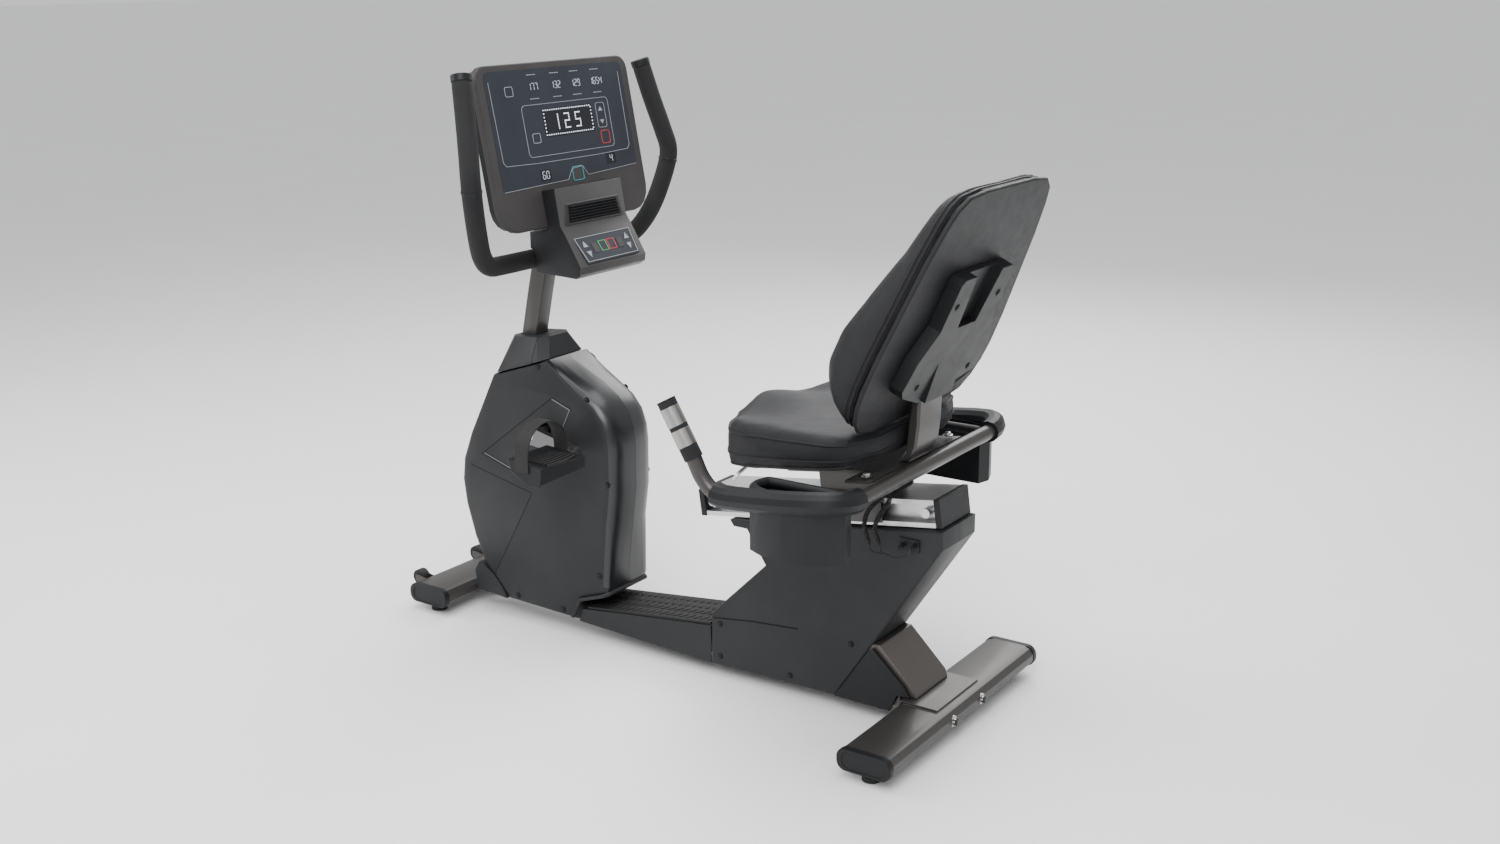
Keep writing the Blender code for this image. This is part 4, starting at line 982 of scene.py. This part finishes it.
def handlebar():
    right = [place(*p) for p in curved(BAR_HALF, 10)]
    left = [Vector((p.x, -p.y, p.z)) for p in reversed(right[1:])]
    line = evenly(left + right, 0.008)
    last = len(line) - 1
    radii = [0.0210 - 0.0035 * math.exp(-min(i, last - i) / 0.7) for i in range(last + 1)]
    obj = piece("handlebar_foam", *tube(line, 0.0210, 28, radii), "foam", "frame")
    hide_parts("handlebar")
    for sign, word in SIDES:
        run = [Vector((p.x, sign * p.y, p.z)) for p in evenly(right, 0.006)]
        top = [p for p in run if p.z > 1.282]
        top.append(top[-1] + (top[-1] - top[-2]) * 0.5)
        piece(f"bar_end_{word}", *tube(top, 0.0222, 28), "black", "frame", 0.0015)
        collar = [p for p in run if 1.066 < p.z < 1.078]
        piece(f"bar_collar_{word}", *tube(collar, 0.0224, 28), "black", "frame", 0.001)


def seat_handles():
    right = [place(*p) for p in curved(SEAT_TUBE, 10)]
    left = [Vector((p.x, -p.y, p.z)) for p in reversed(right)]
    obj = piece("seat_tube_finish", *tube(evenly(right + left, 0.007), 0.016, 24), "gunmetal", "seat")
    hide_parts("seat_tube")
    for sign, word in SIDES:
        tip, base = (place(x, sign * y, z) for x, y, z in (SEAT_TUBE[0], SEAT_TUBE[2]))
        along = (tip - base).normalized()
        line = evenly([base - along * 0.004, tip + along * 0.003], 0.005)
        piece(f"side_grip_{word}", *tube(line, 0.019, 28), "foam", "seat")
        cap = [tip + along * 0.001, tip + along * 0.004]
        piece(f"side_grip_cap_{word}", *tube(cap, 0.0195, 28), "black", "seat", 0.001)
        whole = (tip - base).length
        for number, start, stop in ((1, 0.20, 0.50), (2, 0.57, 0.90)):
            line = evenly([base + along * whole * start, base + along * whole * stop], 0.004)
            piece(f"pulse_plate_{word}_{number}", *tube(line, 0.0194, 32), "stainless", "seat")
        refined(f"cup_holder_{word}", "black", 0.0016, 28.0)
        rim = boat_line(sign)
        piece(f"cup_rim_{word}", *tube(rim + rim[:2], 0.0100, 16), "black", "seat")


def boat_line(sign):
    """The rim of a cup holder, between its outer side and its pocket."""
    middle, reach, inner, wide = 0.469, 0.0975, 0.2665, 0.0750
    line = [Vector((middle + reach * math.cos(a), inner + wide * (0.35 + 0.65 * math.sin(a) ** 0.7), 0))
            for a in [math.pi * i / 12 for i in range(13)]]
    line += [Vector((0.378, inner, 0)), Vector((0.560, inner, 0))]
    return [place(p.x, sign * p.y, 0.5530) for p in evenly([*line, line[0]], 0.006)]


handlebar()
seat_handles()


# Console

FACE = Plane(place(-0.296, 0.0, 0.968), math.radians(-10.5))
SEGMENTS = {"0": "abcdef", "1": "bc", "2": "abged", "3": "abgcd", "4": "fgbc", "5": "afgcd", "6": "afgedc",
            "7": "abc", "8": "abcdefg", "9": "abcdfg"}


def digit(character, y, up, height):
    """The lit bars of one figure, as flat plates on the console's face."""
    wide, half, thick = height * 0.25, height / 2, height * 0.055
    ends = {"a": ((-wide, half), (wide, half)), "b": ((wide, half), (wide, 0)),
            "c": ((wide, 0), (wide, -half)), "d": ((-wide, -half), (wide, -half)),
            "e": ((-wide, 0), (-wide, -half)), "f": ((-wide, half), (-wide, 0)),
            "g": ((-wide, 0), (wide, 0))}
    bars = []
    for key in SEGMENTS[character]:
        (a, b), (c, d) = ends[key]
        start, end = Vector((y + a, up + b)), Vector((y + c, up + d))
        along = (end - start).normalized() * thick
        bars.append(ribbon(FACE, [start + along, end - along], thick * 1.6, 0.0008, 0.0016))
    return bars


def figures(name, text, y, up, height):
    step = height * 0.76
    shapes = []
    for i, character in enumerate(text):
        shapes += digit(character, y + (i - (len(text) - 1) / 2) * step, up, height)
    piece(name, *gathered(shapes), "digit", "frame")


def dot_marks():
    """The dots of a few large figures on the middle display."""
    marks = set()
    for number, character in enumerate("125"):
        left, low, tall, wide = 8 + number * 10, 3, 8, 4
        runs = {"a": [(k, tall) for k in range(wide + 1)], "g": [(k, tall // 2) for k in range(wide + 1)],
                "d": [(k, 0) for k in range(wide + 1)], "b": [(wide, k) for k in range(tall // 2, tall + 1)],
                "c": [(wide, k) for k in range(tall // 2 + 1)], "e": [(0, k) for k in range(tall // 2 + 1)],
                "f": [(0, k) for k in range(tall // 2, tall + 1)]}
        for key in SEGMENTS[character]:
            marks |= {(left + a, low + b) for a, b in runs[key]}
    return marks


DOT_MARKS = dot_marks()


def inked(line, width, closed=False):
    """A printed line on the console's face."""
    return ribbon(FACE, line, width, 0.0004, 0.0011, closed)


def console():
    refined("console_bezel", "bezel", 0.0035, 30.0, 3)
    refined("console_back", "black", 0.003, 30.0, 3)
    refined("console_post", "gunmetal", 0.002)
    pod_body = refined("console_pod", "black", 0.0045, 30.0, 3)
    pod_body.data.materials.append(LOOK["pod"])
    for face in pod_body.data.polygons:
        if face.normal.x > 0.3:
            face.material_index = 1
    sides = round_box(-0.226, 0.226, 0.060, 0.338, 0.014)
    lower = [(-0.226, 0.087), (-0.018, 0.0925), (0.0, 0.115), (0.036, 0.1175), (0.051, 0.0965),
             (0.226, 0.104)]
    overlay = lower + [p for p in sides if p[1] > 0.2]
    piece("console_overlay", *plate(FACE, overlay, -0.0004, 0.0006), "overlay", "frame")
    lines = [inked([(-0.215, 0.317), (-0.212, 0.150), (-0.205, 0.141), (-0.10, 0.138), (0.10, 0.138),
                    (0.202, 0.141), (0.210, 0.150), (0.212, 0.315)], 0.0010),
             inked(round_box(-0.128, 0.159, 0.152, 0.262, 0.010), 0.0010, True),
             inked([(-0.224, 0.088), (-0.018, 0.0935), (0.0, 0.116), (0.036, 0.1185), (0.051, 0.0975),
                    (0.224, 0.105)], 0.0010),
             inked(round_box(0.114, 0.144, 0.196, 0.251, 0.006), 0.0010, True)]
    for y in (-0.08, -0.006, 0.06, 0.13):
        for up in (0.3255, 0.2745):
            for left in (y - 0.014 + k * 0.0075 for k in range(4)):
                lines.append(inked([(left, up), (left + 0.005, up)], 0.0018))
    for y, up in ((-0.157, 0.294), (-0.096, 0.191)):
        key = round_box(y - 0.012, y + 0.012, up - 0.010, up + 0.010, 0.004)
        lines.append(inked(key, 0.0012, True))
    piece("console_lines", *gathered(lines), "ink", "frame")
    for number, (y, text) in enumerate(((-0.08, "177"), (-0.006, "132"), (0.06, "129"), (0.13, "1654"))):
        figures(f"console_figures_{number}", text, y, 0.300, 0.0145)
    screen = round_box(-0.065, 0.100, 0.190, 0.251, 0.003)
    piece("console_screen", *plate(FACE, screen, 0.0003, 0.0010), "window", "frame")
    corners = [(a * 0.0012, b * 0.0012) for a, b in ((-1, -1), (1, -1), (1, 1), (-1, 1))]
    dot = slab([[FACE.at(a, b, h) - FACE.foot for a, b in corners] for h in (0.0008, 0.0014)])
    columns, rows = 44, 15
    spots = []
    for i in range(columns):
        for j in range(rows):
            on_edge = j in (0, rows - 1) or i in (0, columns - 1)
            if on_edge and (i + j) % 2 == 0 or not on_edge and (i, j) in DOT_MARKS:
                spots.append(FACE.at(-0.0615 + i * 0.00365, 0.1945 + j * 0.0038))
    repeated("console_dots", dot, spots, "dot", "frame")
    for name, y, up, text in (("left", -0.088, 0.111, "60"), ("right", 0.138, 0.126, "4")):
        window = round_box(y - 0.017, y + 0.017, up - 0.012, up + 0.012, 0.002)
        piece(f"console_window_{name}", *plate(FACE, window, 0.0003, 0.0009), "window", "frame")
        figures(f"console_figures_{name}", text, y, up, 0.016)
    arrow = ((-0.007, 0.010), (0.007, 0.010), (0, 0.019))
    arrows = [slab([[FACE.at(0.129 + a, 0.223 + b * s, h) for a, b in arrow] for h in (0.0004, 0.0014)])
              for s in (1, -1)]
    piece("console_arrows", *gathered(arrows), "ink", "frame")
    for name, key, width in (("red", (0.118, 0.146, 0.1605, 0.1885), 0.0013),
                             ("teal", (0.0, 0.035, 0.0895, 0.1195), 0.0016)):
        ring = ribbon(FACE, round_box(*key, 0.004), width, 0.0004, 0.0012, True)
        piece(f"console_{name}_key", *ring, name, "frame")


VENT = [(-0.265, 0.085, 1.017), (-0.256, 0.093, 0.975)]
KEYPAD = [(-0.243, 0.099, 0.947), (-0.206, 0.089, 0.893)]


class Patch:
    """A flat panel given by its upper and lower edges."""

    def __init__(self, upper, lower):
        self.upper, self.lower = place(*upper), place(*lower)
        across = Vector((0, 1, 0))
        self.down = Vector((self.lower.x - self.upper.x, 0, self.lower.z - self.upper.z))
        self.normal = across.cross(-self.down).normalized()
        if self.normal.x < 0:
            self.normal = -self.normal

    def at(self, y, drop, out=0.0):
        """y runs from -1 to 1 across the panel, and drop from 0 at the top to 1 at the bottom."""
        half = self.upper.y + (self.lower.y - self.upper.y) * drop
        return Vector((self.upper.x, y * half, self.upper.z)) + self.down * drop + self.normal * out


def pod():
    tree = skin(NODES["console_pod"])
    vent, keys = Patch(*VENT), Patch(*KEYPAD)
    for panel in (vent, keys):
        spot = panel.at(0, 0.5)
        hit = tree.ray_cast(spot + panel.normal * 0.1, -panel.normal, 0.3)[0]
        move = hit - spot
        panel.upper, panel.lower = panel.upper + move, panel.lower + move
    square = [(-1, 0), (1, 0), (1, 1), (-1, 1)]
    rim = slab([[vent.at(y * k, 0.5 + (d - 0.5) * k, h) for y, d in square]
                for k, h in ((1.06, -0.002), (1.06, 0.002), (1.0, 0.003))])
    piece("vent_frame", *rim, "gloss", "frame", 0.0008)
    # Painted shade inside the vent, behind its slats.
    shade_sheet = slab([[vent.at(y * 0.94, 0.5 + (d - 0.5) * 0.94 * 0.92, h) for y, d in square]
                  for h in (0.001, 0.0034)])
    piece("vent_mouth", *shade_sheet, "groove", "frame")
    slats = []
    for d in (0.10 + 0.14 * k for k in range(6)):
        edges = ((d, d + 0.045, 0.003), (d + 0.03, d + 0.06, 0.0062))
        slats.append(slab([[vent.at(-0.93, a, h), vent.at(0.93, a, h),
                            vent.at(0.93, b, h), vent.at(-0.93, b, h)] for a, b, h in edges]))
    piece("vent_slats", *gathered(slats), "black", "frame")
    pad = slab([[keys.at(y, d, h) for y, d in square] for h in (-0.002, 0.0015)])
    piece("keypad", *pad, "overlay", "frame", 0.0006)

    def flat(y_from, y_to, low, high, look, name, solid=False):
        box_line = [(y_from, low), (y_to, low), (y_to, high), (y_from, high)]
        if solid:
            piece(name, *plate(keys, box_line, 0.001, 0.0026), look, "frame", 0.0004)
        else:
            piece(name, *ribbon(keys, box_line, 0.018, 0.001, 0.0022, True), look, "frame")

    flat(-0.95, 0.95, 0.06, 0.94, "ink", "keypad_outline")
    flat(-0.27, -0.03, 0.30, 0.66, "green", "start_key")
    flat(0.03, 0.27, 0.30, 0.66, "red", "stop_key")
    for y in (-0.74, 0.74):
        arrows = [slab([[keys.at(y + a, 0.5 + s * b, h) for a, b in ((-0.08, 0.08), (0.08, 0.08), (0, 0.30))]
                        for h in (0.001, 0.0024)]) for s in (1, -1)]
        piece(f"keypad_arrows_{'left' if y < 0 else 'right'}", *gathered(arrows), "ink", "frame")
    for y in (-0.45, 0.45):
        flat(y - 0.09, y + 0.09, 0.32, 0.68, "bezel", f"side_key_{'left' if y < 0 else 'right'}", True)


console()
pod()

for name, look in (("brake_magnets", "dark_steel"), ("drive_belt", "rubber"), ("drive_pulley", "black")):
    refined(name, look, 0.0)
